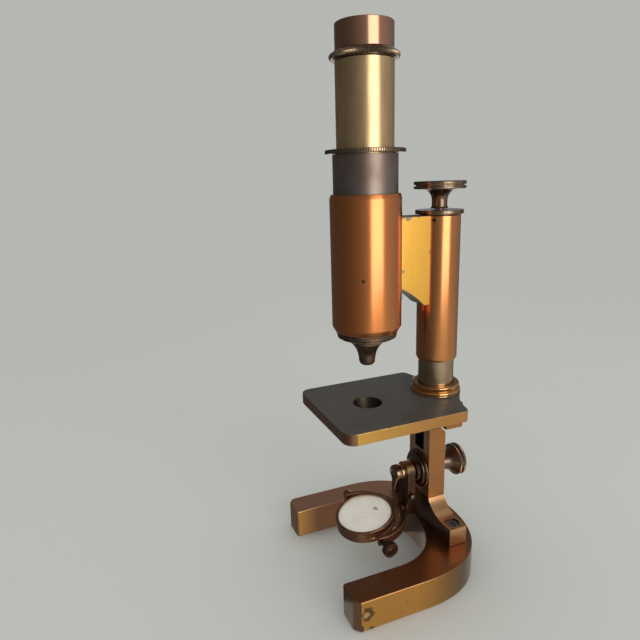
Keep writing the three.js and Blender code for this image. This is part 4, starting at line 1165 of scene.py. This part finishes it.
silvering, tree, shader, place = new_finish("old_silvering")
milky = mixed(tree, spread(tree, grain(tree, place, 60, 6.0), 0.35, 0.68), (0.93, 0.87, 0.75), (0.82, 0.78, 0.68))
foxing = spread(tree, grain(tree, place, 700, 8.0), 0.55, 0.72, 0.0, 0.55)
foxed_part = spread(tree, grain(tree, place, 130, 4.0), 0.42, 0.60)
milky = mixed(tree, maths(tree, "MULTIPLY", foxing, foxed_part), milky, (0.34, 0.32, 0.27))
milky = mixed(tree, maths(tree, "MULTIPLY", specks(tree, place, 520, 0.22, 0.16), 0.6), milky, (0.22, 0.20, 0.17))
smudge = blot(tree, place, tilt_place + Vector((0, 5.9, 2.6)) * mm, 1.5 * mm, 0.6)
milky = mixed(tree, maths(tree, "MULTIPLY", smudge, 0.7), milky, (0.20, 0.19, 0.17))
tree.links.new(milky, shader.inputs["Base Color"])
shader.inputs["Metallic"].default_value = 0.05
shader.inputs["Coat Weight"].default_value = 1.0
shader.inputs["Coat Roughness"].default_value = 0.03
silver_smear = spread(tree, grain(tree, place, 300, 5.0), 0.35, 0.65, 0.42, 0.70)
tree.links.new(silver_smear, shader.inputs["Roughness"])
silver_bump = node(tree, "Bump", {"Strength": 0.1, "Distance": 0.0001, "Height": grain(tree, place, 800, 4.0)})
tree.links.new(silver_bump.outputs["Normal"], shader.inputs["Normal"])

glass_radius, glass_low, glass_high = 13.8 * mm, 0.8 * mm, 2.2 * mm
bezel_inner, bezel_low, bezel_high = 13.4 * mm, 2.5 * mm, 2.95 * mm
plane_outline = [
    (0, glass_low), (glass_radius, glass_low), (glass_radius, glass_high - 0.15 * mm),
    (glass_radius - 0.15 * mm, glass_high), (0, glass_high),
]
dish = 0.7 * mm
dished = [(glass_radius * step / 8, -glass_high + dish * (1 - (step / 8) ** 2)) for step in range(8)]
concave_outline = [
    *dished, (glass_radius - 0.15 * mm, -glass_high), (glass_radius, -glass_high + 0.15 * mm),
    (glass_radius, -glass_low), (0, -glass_low),
]
for name, outline in (("plane_mirror", plane_outline), ("concave_mirror", concave_outline)):
    mirror_shape = turned(outline, 96)
    bmesh.ops.transform(mirror_shape, matrix=cell_place, verts=mirror_shape.verts)
    mirror = finished(mirror_shape, f"{name}_glass", silvering)
    fit(mirror, "mirror", "mirror_silvering", name)

bezel_brass = metal_finish(
    "bezel_brass", (0.82, 0.62, 0.34), (0.48, 0.31, 0.15), (0.92, 0.80, 0.56), 0.32, (6, 6, 6), depth=0.5,
)
for name, side in (("plane_bezel", 1), ("concave_bezel", -1)):
    bezel_outline = [
        (bezel_inner, side * bezel_low), (glass_radius, side * bezel_low), (glass_radius, side * (bezel_high - 0.1 * mm)),
        (glass_radius - 0.1 * mm, side * bezel_high), (bezel_inner + 0.2 * mm, side * bezel_high),
        (bezel_inner, side * (bezel_high - 0.2 * mm)),
    ]
    bezel_shape = turned(bezel_outline, 96)
    bmesh.ops.transform(bezel_shape, matrix=cell_place, verts=bezel_shape.verts)
    bezel = finished(bezel_shape, f"{name}_ring", bezel_brass)
    fit(bezel, "mirror", "pale_brass", name)


# ---- The lenses and the hidden working parts -----------------------------------------------------------------------
# Ground crown glass in the eyepiece and the objective. Inside the tubes and the column are the stops, studs, key,
# screw, nut and spring, in brass and steel that only a repairer sees. Their CAD shapes stay.

lens_glass, tree, shader, place = new_finish("crown_glass")
shader.inputs["Transmission Weight"].default_value = 1.0
shader.inputs["IOR"].default_value = 1.52
haze = spread(tree, grain(tree, place, 500, 5.0), 0.4, 0.8, 0.02, 0.10)
tree.links.new(haze, shader.inputs["Roughness"])
tree.links.new(mixed(tree, haze, (0.92, 0.96, 0.95), (0.80, 0.84, 0.84)), shader.inputs["Base Color"])

inner_brass = metal_finish(
    "inner_brass", (0.60, 0.42, 0.20), (0.36, 0.22, 0.10), (0.82, 0.66, 0.40), 0.32, (3, 3, 12), depth=0.6,
)


def polished(finish, *names):
    """Gives CAD nodes that keep their shape a better finish."""
    for name in names:
        materials = frame["nodes"][name].data.materials
        materials.clear()
        materials.append(finish)


polished(lens_glass, "eye_lens", "field_lens", "objective_front_lens", "objective_rear_lens")
polished(inner_brass, "eyepiece_barrel", "micrometer_nut", "draw_tube_stop")
polished(blacking, "field_stop")
polished(steel, "foot_stud", "bracket_stud", "column_key", "micrometer_screw")

spring_low, spring_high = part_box("fine_spring")
spring = finished(softened("fine_spring", 0.05 * mm), "return_spring", steel)
fit(spring, "stand", "blued_steel", "fine_spring")
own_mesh(spring)
